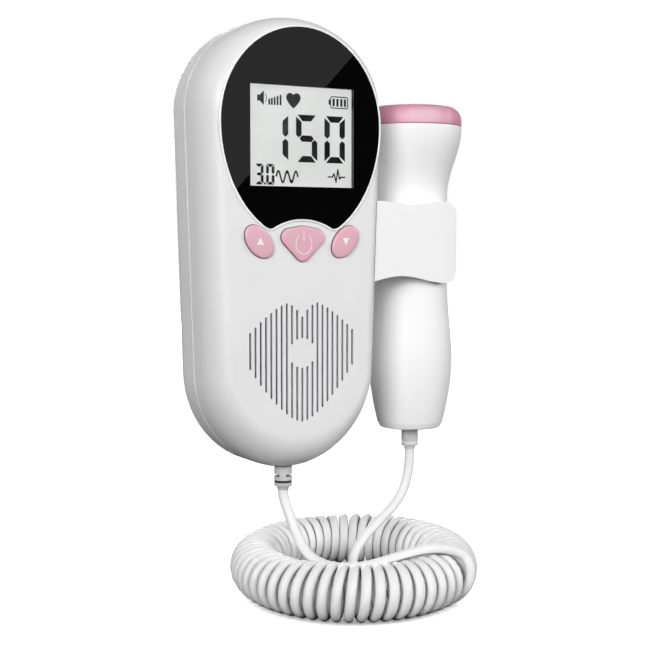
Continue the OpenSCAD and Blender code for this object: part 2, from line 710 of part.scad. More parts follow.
// ---------- cord ----------

module unit_strain_relief() color("white")
    translate([0, -relief_d, -unit_h / 2]) strain_relief(shell_wall);

module probe_strain_relief() color("white")
    translate([probe_x, -probe_d, probe_low_z]) strain_relief(probe_wall);

module cord_lead_unit() color("white") wire(unit_lead_route, wire_d / 2);
module cord_lead_probe() color("white") wire(probe_lead_route, wire_d / 2);

// The curled cord lying in a slightly oval ring, as one tube of its outer diameter
module cord_coil() color("white") {
    steps = 44;
    sides = 12;
    translate(ring_centre) rotate(ring_turn) polyhedron(
        points = [for (i = [0 : steps - 1], k = [0 : sides - 1])
            let (t = 360 * i / steps, a = 360 * k / sides,
                out = unit_vec([ring_along * cos(t), ring_across * sin(t), 0]))
            [ring_across * cos(t), ring_along * sin(t), 0] + coil_r * (cos(a) * out + [0, 0, sin(a)])],
        faces = [for (i = [0 : steps - 1], k = [0 : sides - 1])
            let (n = (i + 1) % steps, m = (k + 1) % sides)
            [i * sides + k, i * sides + m, n * sides + m, n * sides + k]],
        convexity = 4);
}

// ---------- probe ----------

// Smooth step from 0 to 1
function ease(t) = let (u = min(max(t, 0), 1)) u * u * (3 - 2 * u);

// Radius of the probe's shell at a height
head_start_z = 16.5;
grip_start_z = -12;
grip_z = -37;
probe_board_low = 12;
function probe_radius(z) =
    z > head_start_z ? neck_r + (head_r - neck_r) * ease((z - head_start_z) / (cap_joint_z - 1 - head_start_z))
    : z > grip_start_z ? neck_r
    : z > grip_z ? neck_r + (grip_r - neck_r) * ease((grip_start_z - z) / (grip_start_z - grip_z))
    : tail_r + (grip_r - tail_r) * (1 - pow((grip_z - z) / (grip_z - probe_low_z), 1.8));

probe_heights = concat([for (i = [1 : 10]) probe_low_z + (grip_z - probe_low_z) * i / 10],
    [for (i = [1 : 8]) grip_z + (grip_start_z - grip_z) * i / 8],
    [for (i = [0 : 10]) head_start_z + (cap_joint_z - head_start_z) * i / 10]);

module probe_shell() color("white") translate([probe_x, -probe_d, 0]) difference() {
    rotate_extrude() polygon(concat([[0, probe_low_z], [tail_r - 1, probe_low_z],
        [tail_r - 0.3, probe_low_z + 0.3], [tail_r, probe_low_z + 1]],
        [for (z = probe_heights) [probe_radius(z), z]], [[0, cap_joint_z]]));
    rotate_extrude() polygon(concat([[0, probe_low_z + probe_wall], [tail_r - probe_wall, probe_low_z + probe_wall]],
        [for (z = probe_heights) [probe_radius(z) - probe_wall, max(z, probe_low_z + probe_wall + 0.2)]],
        [[probe_radius(cap_joint_z) - probe_wall, cap_joint_z + cut], [0, cap_joint_z + cut]]));
    translate([0, 0, probe_low_z - cut]) cylinder(r = relief_hole_r, h = probe_wall + 2 * cut);
}

// Head cap: its lower edge, wall, and the skirt that fits inside the shell
cap_low_z = cap_joint_z + slack / 2;
cap_wall = 1.6;
skirt_h = 5;
skirt_wall = 1.4;
skirt_r = probe_radius(cap_joint_z - skirt_h) - probe_wall - 0.1;

module probe_cap() color([0.9, 0.6, 0.7]) translate([probe_x, -probe_d, 0]) {
    round_r = 4.4;
    rotate_extrude() polygon(concat(
        [[skirt_r, cap_low_z - skirt_h], [skirt_r, cap_low_z], [head_r, cap_low_z]],
        [for (a = [0 : 10 : 90]) [head_r - round_r + round_r * cos(a), probe_top_z - round_r + round_r * sin(a)]],
        [[0, probe_top_z], [0, probe_top_z - cap_wall], [skirt_r - skirt_wall, probe_top_z - cap_wall],
         [skirt_r - skirt_wall, cap_low_z - skirt_h]]));
}

// Crystals behind the cap's face, and the cup under them
crystal_t = 1.2;
crystal_r = 9;
crystal_top_z = probe_top_z - cap_wall - slack;
cup_r = skirt_r - skirt_wall - 0.15;
cup_top_z = crystal_top_z - crystal_t - slack;
cup_h = 7;
cup_wall = 1.4;
cup_floor = 1;
cup_rim = 1;

module crystals() color([0.75, 0.7, 0.55]) translate([probe_x, -probe_d, crystal_top_z - crystal_t])
    for (s = [-1, 1]) intersection() {
        cylinder(r = crystal_r, h = crystal_t);
        translate([s > 0 ? 0.4 : -crystal_r - 0.4, -crystal_r, 0]) cube([crystal_r, 2 * crystal_r, crystal_t]);
    }

module crystal_holder() color([0.3, 0.3, 0.32]) translate([probe_x, -probe_d, cup_top_z])
    rotate_extrude() polygon([[cup_r, 0], [cup_r, -cup_h], [4, -cup_h], [4, cup_floor - cup_h],
        [cup_r - cup_wall, cup_floor - cup_h], [cup_r - cup_wall, -cup_rim],
        [crystal_r - 1, -cup_rim], [crystal_r - 1, 0]]);

module backing_block() color([0.2, 0.2, 0.2])
    translate([probe_x, -probe_d, cup_top_z - cup_h + cup_floor + slack / 2])
        cylinder(r = cup_r - cup_wall - slack, h = cup_h - cup_floor - cup_rim - slack);

module probe_board() color([0.1, 0.4, 0.25])
    translate([probe_x, -probe_d, 0]) {
        half = neck_r - probe_wall - 0.25;
        translate([-half, -board_t / 2, grip_start_z - probe_board_low])
            cube([2 * half, board_t, head_start_z - 2.5 - grip_start_z + probe_board_low]);
    }

// ---------- the whole object ----------

front_shell();
back_shell();
battery_door();
lens_window();
lcd_glass();
lcd_backlight();
lcd_frame();
lcd_connector();
main_board();
board_chips();
board_screws();
key_switches();
power_button();
power_stem();
up_button();
up_stem();
down_button();
down_stem();
speaker_frame();
speaker_cone();
speaker_magnet();
headphone_jack();
battery_cells();
cell_contacts();
cell_springs();
case_screws();
probe_holder();
holder_screws();
unit_strain_relief();
cord_lead_unit();
cord_coil();
cord_lead_probe();
probe_strain_relief();
probe_shell();
probe_cap();
crystals();
crystal_holder();
backing_block();
probe_board();
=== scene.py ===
import math

import bmesh
import bpy
import numpy as np
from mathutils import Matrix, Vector


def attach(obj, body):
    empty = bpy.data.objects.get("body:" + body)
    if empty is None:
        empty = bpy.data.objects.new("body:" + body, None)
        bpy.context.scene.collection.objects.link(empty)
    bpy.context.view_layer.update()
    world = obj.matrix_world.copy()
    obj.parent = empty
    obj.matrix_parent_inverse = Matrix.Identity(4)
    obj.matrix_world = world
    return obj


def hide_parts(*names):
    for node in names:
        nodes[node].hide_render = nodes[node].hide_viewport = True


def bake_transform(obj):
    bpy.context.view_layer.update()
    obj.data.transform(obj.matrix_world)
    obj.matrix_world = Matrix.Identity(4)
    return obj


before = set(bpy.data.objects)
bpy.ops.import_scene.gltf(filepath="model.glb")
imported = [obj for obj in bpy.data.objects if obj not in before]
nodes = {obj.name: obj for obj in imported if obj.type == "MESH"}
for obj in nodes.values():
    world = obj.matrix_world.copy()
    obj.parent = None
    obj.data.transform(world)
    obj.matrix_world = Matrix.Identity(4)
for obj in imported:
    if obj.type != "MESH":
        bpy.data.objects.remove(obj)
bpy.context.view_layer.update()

# Fetal doppler monitor: a white main unit with a black display lens, pink buttons and a heart of
# slots, a probe with a pink head in its clip, and a curly cord lying in a ring below them.
# Places on the part are given in millimetres, as in its source, and turned into metres by the
# makers. The studio round it is given in metres.
scene = bpy.context.scene
MM = 0.001
GRAIN_DEPTH = 0.04 * MM


# ---------- camera ----------

camera = bpy.data.objects.new("camera", bpy.data.cameras.new("camera"))
scene.collection.objects.link(camera)
camera.data.sensor_width = 36
camera.data.lens = 71.76
camera.data.clip_start = 0.01
camera.location = (-0.1817, -0.3652, 0.0010)
camera.rotation_euler = (math.radians(86.39), 0, math.radians(-29.5))
scene.camera = camera
scene.view_settings.view_transform = "Standard"


# ---------- shader groups ----------

def new_group(name, inputs, *outputs):
    """Empty shader group of float sockets: inputs as name: start value, outputs by name."""
    tree = bpy.data.node_groups.new(name, "ShaderNodeTree")
    for title, start in inputs.items():
        socket = tree.interface.new_socket(title, in_out="INPUT", socket_type="NodeSocketFloat")
        socket.default_value = start
    for title in outputs:
        tree.interface.new_socket(title, in_out="OUTPUT", socket_type="NodeSocketFloat")
    return tree, tree.nodes.new("NodeGroupInput"), tree.nodes.new("NodeGroupOutput")


def feed(tree, value, socket):
    """Gives a socket its value, which is another node's output or a plain value."""
    if isinstance(value, bpy.types.NodeSocket):
        tree.links.new(value, socket)
    else:
        socket.default_value = value


def math_node(tree, operation, first, second, clamp=False):
    """Math node on two outputs or plain numbers. Returns its output."""
    node = tree.nodes.new("ShaderNodeMath")
    node.operation = operation
    node.use_clamp = clamp
    feed(tree, first, node.inputs[0])
    feed(tree, second, node.inputs[1])
    return node.outputs[0]


def times(tree, first, second, clamp=False):
    """Product of two values."""
    return math_node(tree, "MULTIPLY", first, second, clamp)


def plus(tree, first, second):
    """Sum of two values."""
    return math_node(tree, "ADD", first, second)


def own_place(tree):
    """Place on the piece in its own coordinates, in metres."""
    return tree.nodes.new("ShaderNodeTexCoord").outputs["Object"]


def laid(tree, place, scale=(1.0, 1.0, 1.0), turn=(0.0, 0.0, 0.0)):
    """Place stretched and turned before a texture reads it."""
    node = tree.nodes.new("ShaderNodeMapping")
    node.inputs["Rotation"].default_value = turn
    node.inputs["Scale"].default_value = scale
    tree.links.new(place, node.inputs["Vector"])
    return node.outputs["Vector"]


def noise(tree, where, scale, detail=2.0, roughness=0.5):
    """Noise texture at a place. Returns its value."""
    node = tree.nodes.new("ShaderNodeTexNoise")
    tree.links.new(where, node.inputs["Vector"])
    feed(tree, scale, node.inputs["Scale"])
    node.inputs["Detail"].default_value = detail
    node.inputs["Roughness"].default_value = roughness
    return node.outputs["Fac"]


def spread(tree, value, low, high, to_low=0.0, to_high=1.0):
    """Maps a value from one range to another, held at its ends."""
    node = tree.nodes.new("ShaderNodeMapRange")
    tree.links.new(value, node.inputs["Value"])
    for title, number in (("From Min", low), ("From Max", high), ("To Min", to_low), ("To Max", to_high)):
        feed(tree, number, node.inputs[title])
    return node.outputs["Result"]


def moulded_surface():
    """Fine spark-eroded grain, slow waviness, and the cloudy sheen of moulded plastic."""
    tree, given, made = new_group(
        "moulded_surface", {"Grain per metre": 2600.0, "Grain": 0.35, "Rough low": 0.3, "Rough high": 0.4},
        "Height", "Roughness", "Tint")
    place = own_place(tree)
    grain = noise(tree, place, given.outputs["Grain per metre"], 3.0, 0.6)
    cloud = noise(tree, place, 55.0, 3.0)
    wave = noise(tree, place, 24.0, 1.0)
    height = plus(tree, times(tree, grain, given.outputs["Grain"]), times(tree, wave, 0.6))
    tree.links.new(height, made.inputs["Height"])
    sheen = plus(tree, times(tree, cloud, 0.7), times(tree, grain, 0.3))
    rough = spread(tree, sheen, 0.35, 0.65, given.outputs["Rough low"], given.outputs["Rough high"])
    tree.links.new(rough, made.inputs["Roughness"])
    tree.links.new(spread(tree, cloud, 0.3, 0.7), made.inputs["Tint"])
    return tree


def rubbed_marks():
    """Hairline scratches and small smudges that handling leaves on a smooth surface."""
    tree, given, made = new_group("rubbed_marks", {"Amount": 0.3}, "Mask", "Height")
    amount = given.outputs["Amount"]
    place = own_place(tree)
    hair_way = laid(tree, place, scale=(1.0, 14.0, 1.0), turn=(0.4, 0.9, 0.5))
    hair = spread(tree, noise(tree, hair_way, 320.0, 2.0, 0.7), 0.66, 0.74)
    smudge = spread(tree, noise(tree, place, 95.0, 4.0, 0.65), 0.52, 0.72)
    either = math_node(tree, "MAXIMUM", hair, times(tree, smudge, 0.6))
    tree.links.new(times(tree, either, amount, clamp=True), made.inputs["Mask"])
    tree.links.new(times(tree, hair, times(tree, amount, -1.0)), made.inputs["Height"])
    return tree


def plated_metal():
    """Even lay of fine lines and small stains on plated or drawn metal."""
    tree, given, made = new_group(
        "plated_metal", {"Lines per metre": 3000.0}, "Height", "Roughness", "Stain")
    place = own_place(tree)
    lines = noise(tree, laid(tree, place, scale=(1.0, 1.0, 0.08)), given.outputs["Lines per metre"], 2.0)
    stain = noise(tree, place, 260.0, 4.0, 0.6)
    uneven = plus(tree, times(tree, lines, 0.4), times(tree, stain, 0.6))
    tree.links.new(lines, made.inputs["Height"])
    tree.links.new(spread(tree, uneven, 0.35, 0.65, 0.2, 0.38), made.inputs["Roughness"])
    tree.links.new(spread(tree, stain, 0.45, 0.7), made.inputs["Stain"])
    return tree


def painted_reflection_streaks():
    """Soft upright streaks of lighter colour that fade out at a height: painted reflections on tinted
    plastic.
    """
    tree, given, made = new_group(
        "painted_reflection_streaks", {"Streaks": 0.5, "Fade from": 0.0, "Fade to": 0.01}, "Mask")
    place = own_place(tree)
    apart = tree.nodes.new("ShaderNodeSeparateXYZ")
    tree.links.new(place, apart.inputs[0])
    reflection_streaks = spread(tree, noise(tree, laid(tree, place, scale=(1.0, 1.0, 0.06)), 130.0, 1.0), 0.4, 0.62)
    below = spread(tree, apart.outputs["Z"], given.outputs["Fade from"], given.outputs["Fade to"],
                   given.outputs["Streaks"], 0.0)
    tree.links.new(times(tree, reflection_streaks, below), made.inputs["Mask"])
    return tree


def painted_shade_edge():
    """Painted shade along an edge of tinted plastic, from where it is darkest to where it ends."""
    tree, given, made = new_group("painted_shade_edge", {"Place": 0.0, "Deepest at": 0.0, "Ends at": 0.001}, "Mask")
    edge = spread(tree, given.outputs["Place"], given.outputs["Deepest at"], given.outputs["Ends at"],
                  1.0, 0.0)
    tree.links.new(edge, made.inputs["Mask"])
    return tree


def open_surface():
    """How free a surface lies, read from occlusion: 0 in a gap or slot, 1 in the open. It sets where shade
    is painted into colour.
    """
    tree, given, made = new_group("open_surface", {"Reach": 0.002, "Shut": 0.1, "Open": 0.5}, "Mask")
    close = tree.nodes.new("ShaderNodeAmbientOcclusion")
    tree.links.new(given.outputs["Reach"], close.inputs["Distance"])
    free = spread(tree, close.outputs["AO"], given.outputs["Shut"], given.outputs["Open"])
    tree.links.new(free, made.inputs["Mask"])
    return tree


MOULDED, RUBBED, PLATED = moulded_surface(), rubbed_marks(), plated_metal()
PAINTED_REFLECTION, PAINTED_SHADE_EDGE, OPEN_SURFACE = painted_reflection_streaks(), painted_shade_edge(), open_surface()


# ---------- materials ----------

def start_material(name):
    """Material with an empty Principled shader. Returns the material, its tree and the shader."""
    material = bpy.data.materials.new(name)
    material.use_nodes = True
    tree = material.node_tree
    return material, tree, tree.nodes["Principled BSDF"]


def placed(tree, group, **values):
    """Puts a shader group into a material with its own values."""
    node = tree.nodes.new("ShaderNodeGroup")
    node.node_tree = group
    for title, value in values.items():
        node.inputs[title.replace("_", " ")].default_value = value
    return node


def blended(tree, factor, first, second):
    """Colour between two colours, each a node's output or red, green and blue. Returns its output."""
    node = tree.nodes.new("ShaderNodeMix")
    node.data_type = "RGBA"
    tree.links.new(factor, node.inputs[0])
    for socket, value in zip(node.inputs[6:8], (first, second)):
        feed(tree, (*value, 1) if isinstance(value, tuple) else value, socket)
    return node.outputs[2]


def bumped(tree, shader, height, strength):
    """Turns a height into the shader's normal."""
    node = tree.nodes.new("ShaderNodeBump")
    node.inputs["Strength"].default_value = strength
    node.inputs["Distance"].default_value = GRAIN_DEPTH
    tree.links.new(height, node.inputs["Height"])
    tree.links.new(node.outputs["Normal"], shader.inputs["Normal"])


def recoloured(material):
    """Tree, shader and present colour of a finished material, for one more layer of colour."""
    tree = material.node_tree
    shader = tree.nodes["Principled BSDF"]
    return tree, shader, shader.inputs["Base Color"].links[0].from_socket


def moulded_plastic(name, colour, shade, rough, grain=0.35, per_metre=2600.0, marks=0.25,
                    strength=0.35, coat=0.0, specular=0.5, subsurface=0.0):
    """Moulded plastic: a colour that drifts a little, fine grain, and faint marks of handling."""
    material, tree, shader = start_material(name)
    surface = placed(tree, MOULDED, Grain_per_metre=per_metre, Grain=grain,
                     Rough_low=rough[0], Rough_high=rough[1])
    worn = placed(tree, RUBBED, Amount=marks)
    drift = blended(tree, surface.outputs["Tint"], colour, shade)
    dulled = tuple(c * 0.93 for c in shade)
    handled = blended(tree, times(tree, worn.outputs["Mask"], 0.4), drift, dulled)
    dull = plus(tree, surface.outputs["Roughness"], times(tree, worn.outputs["Mask"], 0.12))
    height = plus(tree, surface.outputs["Height"], times(tree, worn.outputs["Height"], 0.4))
    tree.links.new(handled, shader.inputs["Base Color"])
    tree.links.new(dull, shader.inputs["Roughness"])
    bumped(tree, shader, height, strength)
    shader.inputs["Specular IOR Level"].default_value = specular
    shader.inputs["Coat Weight"].default_value = coat
    shader.inputs["Coat Roughness"].default_value = 0.12
    if subsurface:
        shader.inputs["Subsurface Weight"].default_value = subsurface
        shader.inputs["Subsurface Radius"].default_value = (0.004, 0.003, 0.0028)
        shader.inputs["Subsurface Scale"].default_value = 0.4
    return material


def pink_plastic(name, colour, shade, edge_shade, streaks, streaks_top, axis, darkest_at, ends, **finish):
    """Tinted plastic with lighter streaks that fade out at a height, which are painted reflections, and a
    darker edge, which is painted shade.

    The painted shade lies along an axis, from where it is darkest to where it ends."""
    material = moulded_plastic(name, colour, shade, **finish)
    tree, shader, base = recoloured(material)
    apart = tree.nodes.new("ShaderNodeSeparateXYZ")
    tree.links.new(own_place(tree), apart.inputs[0])
    reflection_streaks = placed(tree, PAINTED_REFLECTION, Streaks=streaks, Fade_from=(streaks_top - 2.2) * MM,
                  Fade_to=streaks_top * MM)
    edge = placed(tree, PAINTED_SHADE_EDGE, Deepest_at=darkest_at * MM, Ends_at=ends * MM)
    tree.links.new(apart.outputs[axis], edge.inputs["Place"])
    # The lighter streaks are painted reflections, and the darker edge colour is painted shade.
    reflection_tint = tuple(c + (1 - c) * 0.3 for c in colour)
    with_painted_reflection = blended(tree, reflection_streaks.outputs["Mask"], base, reflection_tint)
    tree.links.new(blended(tree, edge.outputs["Mask"], with_painted_reflection, edge_shade), shader.inputs["Base Color"])
    return material


def painted_gap_shade(material, dark, reach, shut, open_at):
    """Paints shade into a material's colour where its surface lies in a slot, a gap or between turns."""
    tree, shader, base = recoloured(material)
    free = placed(tree, OPEN_SURFACE, Reach=reach * MM, Shut=shut, Open=open_at)
    tree.links.new(blended(tree, free.outputs["Mask"], dark, base), shader.inputs["Base Color"])


def plated(name, colour, stained, lines=3000.0):
    """Plated or drawn metal."""
    material, tree, shader = start_material(name)
    surface = placed(tree, PLATED, Lines_per_metre=lines)
    stains = times(tree, surface.outputs["Stain"], 0.5)
    tree.links.new(blended(tree, stains, colour, stained), shader.inputs["Base Color"])
    tree.links.new(surface.outputs["Roughness"], shader.inputs["Roughness"])
    shader.inputs["Metallic"].default_value = 1
    bumped(tree, shader, surface.outputs["Height"], 0.25)
    return material


# White and pink outer pieces.
case_white = moulded_plastic("case_white", (0.765, 0.765, 0.77), (0.735, 0.735, 0.742), rough=(0.34, 0.44))
# The rim is whiter than the case so that it shows as a bright line round the lens: partly painted
# highlight, partly the lip's own gloss.
rim_white_highlight = moulded_plastic("rim_white_highlight", (0.93, 0.93, 0.93), (0.91, 0.91, 0.912), rough=(0.22, 0.3),
                            coat=0.2, marks=0.1)
probe_white = moulded_plastic("probe_white", (0.86, 0.86, 0.864), (0.84, 0.84, 0.845), rough=(0.5, 0.6),
                              specular=0.25)
clip_white = moulded_plastic("clip_white", (0.86, 0.858, 0.86), (0.84, 0.838, 0.84), rough=(0.42, 0.52),
                             grain=0.5)
cord_white = moulded_plastic("cord_white", (0.81, 0.81, 0.813), (0.77, 0.77, 0.774), rough=(0.42, 0.52),
                             grain=0.3, per_metre=1800.0, marks=0.35)
relief_grey = moulded_plastic("relief_grey", (0.55, 0.55, 0.555), (0.50, 0.50, 0.505), rough=(0.42, 0.52),
                              marks=0.4)
# A lighter copy of the relief grey for the probe's collar, which lies in shade: painted light.
relief_lightened_for_shade = moulded_plastic("relief_lightened_for_shade", (0.70, 0.70, 0.71), (0.64, 0.64, 0.65), rough=(0.42, 0.52),
                              marks=0.4)
# Painted shade between the cord's turns, and in the case's slots, gaps and seam.
painted_gap_shade(cord_white, (0.10, 0.10, 0.10), reach=3.0, shut=0.12, open_at=0.55)
painted_gap_shade(case_white, (0.12, 0.12, 0.125), reach=1.8, shut=0.04, open_at=0.4)
# The third colour is painted shade at the buttons' edge by the case and at the cap's lower rim; the streaks
# are painted reflections.
button_pink = pink_plastic("button_pink", (0.71, 0.40, 0.485), (0.68, 0.375, 0.46), (0.22, 0.045, 0.085),
                           streaks=0.1, streaks_top=20, axis="Y", darkest_at=-32.2, ends=-32.6,
                           rough=(0.36, 0.46), grain=0.5, subsurface=0.08)
head_pink = pink_plastic("head_pink", (0.67, 0.30, 0.40), (0.61, 0.255, 0.35), (0.50, 0.17, 0.26),
                         streaks=0.8, streaks_top=43.4, axis="Z", darkest_at=37.7, ends=38.1,
                         rough=(0.4, 0.5), specular=0.4)
symbol_white = moulded_plastic("symbol_white", (0.86, 0.84, 0.845), (0.82, 0.79, 0.80), rough=(0.4, 0.5),
                               marks=0.1)
symbol_pale = moulded_plastic("symbol_pale", (0.86, 0.66, 0.71), (0.82, 0.61, 0.66), rough=(0.4, 0.5),
                              marks=0.1)
# Near-black that paints the shade in the floors of the collar's flex slots.
slot_painted_shade = moulded_plastic("slot_painted_shade", (0.035, 0.035, 0.036), (0.05, 0.05, 0.052), rough=(0.6, 0.7))

# Pieces inside the case and the probe.
tray_white = moulded_plastic("tray_white", (0.72, 0.72, 0.69), (0.66, 0.66, 0.63), rough=(0.45, 0.55))
dark_plastic = moulded_plastic("dark_plastic", (0.022, 0.022, 0.024), (0.032, 0.032, 0.034),
                               rough=(0.4, 0.55))
holder_plastic = moulded_plastic("holder_plastic", (0.06, 0.06, 0.065), (0.045, 0.045, 0.05),
                                 rough=(0.4, 0.52))
stem_plastic = moulded_plastic("stem_plastic", (0.62, 0.56, 0.44), (0.56, 0.5, 0.39), rough=(0.35, 0.45))
contact_rubber = moulded_plastic("contact_rubber", (0.70, 0.27, 0.32), (0.63, 0.22, 0.27),
                                 rough=(0.6, 0.7), grain=0.6)
guide_acrylic = moulded_plastic("guide_acrylic", (0.84, 0.86, 0.87), (0.8, 0.82, 0.83),
                                rough=(0.08, 0.14), coat=0.3)
cell_sleeve = moulded_plastic("cell_sleeve", (0.05, 0.12, 0.09), (0.04, 0.09, 0.07), rough=(0.2, 0.3),
                              coat=0.3)
paper_cone = moulded_plastic("paper_cone", (0.03, 0.03, 0.032), (0.05, 0.05, 0.052), rough=(0.7, 0.85),
                             grain=1.0, per_metre=1400.0, strength=0.8)
crystal_ceramic = moulded_plastic("crystal_ceramic", (0.52, 0.47, 0.32), (0.46, 0.41, 0.28),
                                  rough=(0.4, 0.55))
backing_resin = moulded_plastic("backing_resin", (0.05, 0.05, 0.055), (0.08, 0.08, 0.085),
                                rough=(0.55, 0.7), grain=0.9, per_metre=1100.0)
steel = plated("steel", (0.62, 0.62, 0.63), (0.48, 0.47, 0.45))
contact_nickel = plated("contact_nickel", (0.66, 0.62, 0.55), (0.5, 0.46, 0.38), 2200.0)
magnet_steel = plated("magnet_steel", (0.30, 0.30, 0.31), (0.2, 0.2, 0.2), 1500.0)


def board_material():
    """Green solder mask with the faint raised tracks of the copper below it."""
    material, tree, shader = start_material("board_green")
    tracks = tree.nodes.new("ShaderNodeTexBrick")
    for title, value in (("Scale", 260.0), ("Mortar Size", 0.07), ("Mortar Smooth", 0.3),
                         ("Brick Width", 0.9), ("Row Height", 0.32)):
        tracks.inputs[title].default_value = value
    upright = laid(tree, own_place(tree), turn=(math.radians(90), 0, 0))
    tree.links.new(upright, tracks.inputs["Vector"])
    surface = placed(tree, MOULDED, Grain_per_metre=3200.0, Grain=0.3, Rough_low=0.25, Rough_high=0.36)
    mask = blended(tree, surface.outputs["Tint"], (0.012, 0.115, 0.05), (0.010, 0.09, 0.04))
    base = blended(tree, tracks.outputs["Fac"], mask, (0.03, 0.20, 0.09))
    tree.links.new(base, shader.inputs["Base Color"])
    tree.links.new(surface.outputs["Roughness"], shader.inputs["Roughness"])
    bumped(tree, shader, tracks.outputs["Fac"], 0.5)
    shader.inputs["Coat Weight"].default_value = 0.3
    return material


def lens_material():
    """Black back print behind the polished face of the lens."""
    material, tree, shader = start_material("lens_black")
    worn = placed(tree, RUBBED, Amount=0.2).outputs["Mask"]
    black = blended(tree, worn, (0.001, 0.001, 0.0012), (0.003, 0.003, 0.0032))
    tree.links.new(black, shader.inputs["Base Color"])
    tree.links.new(spread(tree, worn, 0.0, 0.3, 0.004, 0.03), shader.inputs["Roughness"])
    shader.inputs["IOR"].default_value = ACRYLIC_IOR
    return material


def window_material():
    """Clear acrylic of the display window."""
    material, tree, shader = start_material("window_clear")
    worn = placed(tree, RUBBED, Amount=0.12).outputs["Mask"]
    clear = blended(tree, worn, (1.0, 1.0, 1.0), (0.96, 0.96, 0.96))
    tree.links.new(clear, shader.inputs["Base Color"])
    tree.links.new(spread(tree, worn, 0.0, 0.3, 0.0, 0.04), shader.inputs["Roughness"])
    shader.inputs["Transmission Weight"].default_value = 1
    shader.inputs["IOR"].default_value = ACRYLIC_IOR
    return material


def panel_material():
    """Grey reflective film of the liquid crystal panel, lit from behind. Its glow stands partly for the
    backlight and partly for lamp light that the window glass holds back, which is painted light.
    """
    material, tree, shader = start_material("panel_grey")
    surface = placed(tree, MOULDED, Grain_per_metre=5200.0, Grain=0.5, Rough_low=0.4, Rough_high=0.5)
    tint = surface.outputs["Tint"]
    lit = blended(tree, tint, (0.60, 0.61, 0.60), (0.55, 0.56, 0.55))
    film = blended(tree, tint, (0.24, 0.244, 0.24), (0.2, 0.204, 0.2))
    tree.links.new(lit, shader.inputs["Emission Color"])
    tree.links.new(film, shader.inputs["Base Color"])
    tree.links.new(surface.outputs["Roughness"], shader.inputs["Roughness"])
    shader.inputs["Emission Strength"].default_value = 1.1
    return material


def segment_material():
    """Dark crystal of the segments that are switched on."""
    material, tree, shader = start_material("segment_dark")
    surface = placed(tree, MOULDED, Grain_per_metre=2600.0, Grain=0.3, Rough_low=0.35, Rough_high=0.45)
    dark = blended(tree, surface.outputs["Tint"], (0.002, 0.0025, 0.002), (0.004, 0.005, 0.004))
    tree.links.new(dark, shader.inputs["Base Color"])
    tree.links.new(surface.outputs["Roughness"], shader.inputs["Roughness"])
    return material


ACRYLIC_IOR = 1.49
board_green, lens_black, window_clear = board_material(), lens_material(), window_material()
panel_grey, segment_dark = panel_material(), segment_material()


# ---------- makers ----------

def mesh_piece(name, points, faces, material, sharp=35.0, merge=0.0):
    """Object from points in millimetres, with its faces turned outwards and its edges marked."""
    mesh = bpy.data.meshes.new(name)
    mesh.from_pydata([tuple(c * MM for c in p) for p in points], [], faces)
    work = bmesh.new()
    work.from_mesh(mesh)
    if merge:
        bmesh.ops.remove_doubles(work, verts=work.verts, dist=merge * MM)
    bmesh.ops.recalc_face_normals(work, faces=work.faces)
    work.to_mesh(mesh)
    work.free()
    mesh.materials.append(material)
    mesh.shade_smooth()
    mesh.set_sharp_from_angle(angle=math.radians(sharp))
    piece = bpy.data.objects.new(name, mesh)
    scene.collection.objects.link(piece)
    return piece


def stacked(rings, ends=True):
    """Points and faces of a skin over rings with the same number of points."""
    count, last = len(rings[0]), len(rings) - 1
    faces = []
    for i in range(last):
        for j in range(count):
            here, beside = i * count + j, i * count + (j + 1) % count
            faces.append((here, beside, beside + count, here + count))
    if ends:
        faces += [tuple(range(count)), tuple(last * count + j for j in reversed(range(count)))]
    return [p for ring in rings for p in ring], faces


def softened(piece, width):
    """Rounds a piece's edges and evens its shading."""
    bevel = piece.modifiers.new("round_edges", "BEVEL")
    bevel.width = width * MM
    bevel.segments = 2
    bevel.limit_method = "ANGLE"
    bevel.angle_limit = math.radians(40)
    bevel.harden_normals = True
    even = piece.modifiers.new("even_shading", "WEIGHTED_NORMAL")
    even.keep_sharp = True


def fitted(piece, body):
    """Makes a piece ride on a body."""
    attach(piece, body)
    return piece


def dressed(name, node, material, rounding, body):
    """Copy of a CAD solid in its node's place, with joined faces, rounded edges and smooth sides."""
    work = bmesh.new()
    work.from_mesh(nodes[node].data)
    bmesh.ops.remove_doubles(work, verts=work.verts, dist=0.003 * MM)
    bmesh.ops.dissolve_limit(work, angle_limit=math.radians(0.5), verts=work.verts, edges=work.edges)
    points = [tuple(c / MM for c in v.co) for v in work.verts]
    for i, v in enumerate(work.verts):
        v.index = i
    faces = [tuple(v.index for v in f.verts) for f in work.faces]
    work.free()
    piece = mesh_piece(name, points, faces, material, 30.0)
    softened(piece, rounding)
    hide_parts(node)
    fitted(piece, body)


def turned(name, profile, centre, material, steps=128):
    """Lathe-turned piece about an upright axis, from points [radius, height]."""
    rings = [[(centre[0] + r * math.cos(a), centre[1] + r * math.sin(a), z)
              for a in (2 * math.pi * k / steps for k in range(steps))] for r, z in profile]
    points, faces = stacked(rings, ends=False)
    return mesh_piece(name, points, faces, material, merge=0.0005)


def joined_prisms(name, outlines, near, far, material):
    """Flat shapes seen from the front, each (x, z) outline given a depth from near to far."""
    points, faces = [], []
    for outline in outlines:
        start = len(points)
        p, f = stacked([[(x, -near, z) for x, z in outline], [(x, -far, z) for x, z in outline]])
        points += p
        faces += [tuple(start + i for i in face) for face in f]
    return mesh_piece(name, points, faces, material)


def directions(path):
    """Unit direction of a path at each of its points."""
    along = np.gradient(path, axis=0)
    return along / np.linalg.norm(along, axis=1)[:, None]


def stroke(path, width):
    """Outline of a line of that width along a path of (x, z) points."""
    p = np.array(path, float)
    along = directions(p)
    side = np.stack([-along[:, 1], along[:, 0]], 1) * width / 2
    return [tuple(q) for q in np.vstack([p + side, (p - side)[::-1]])]


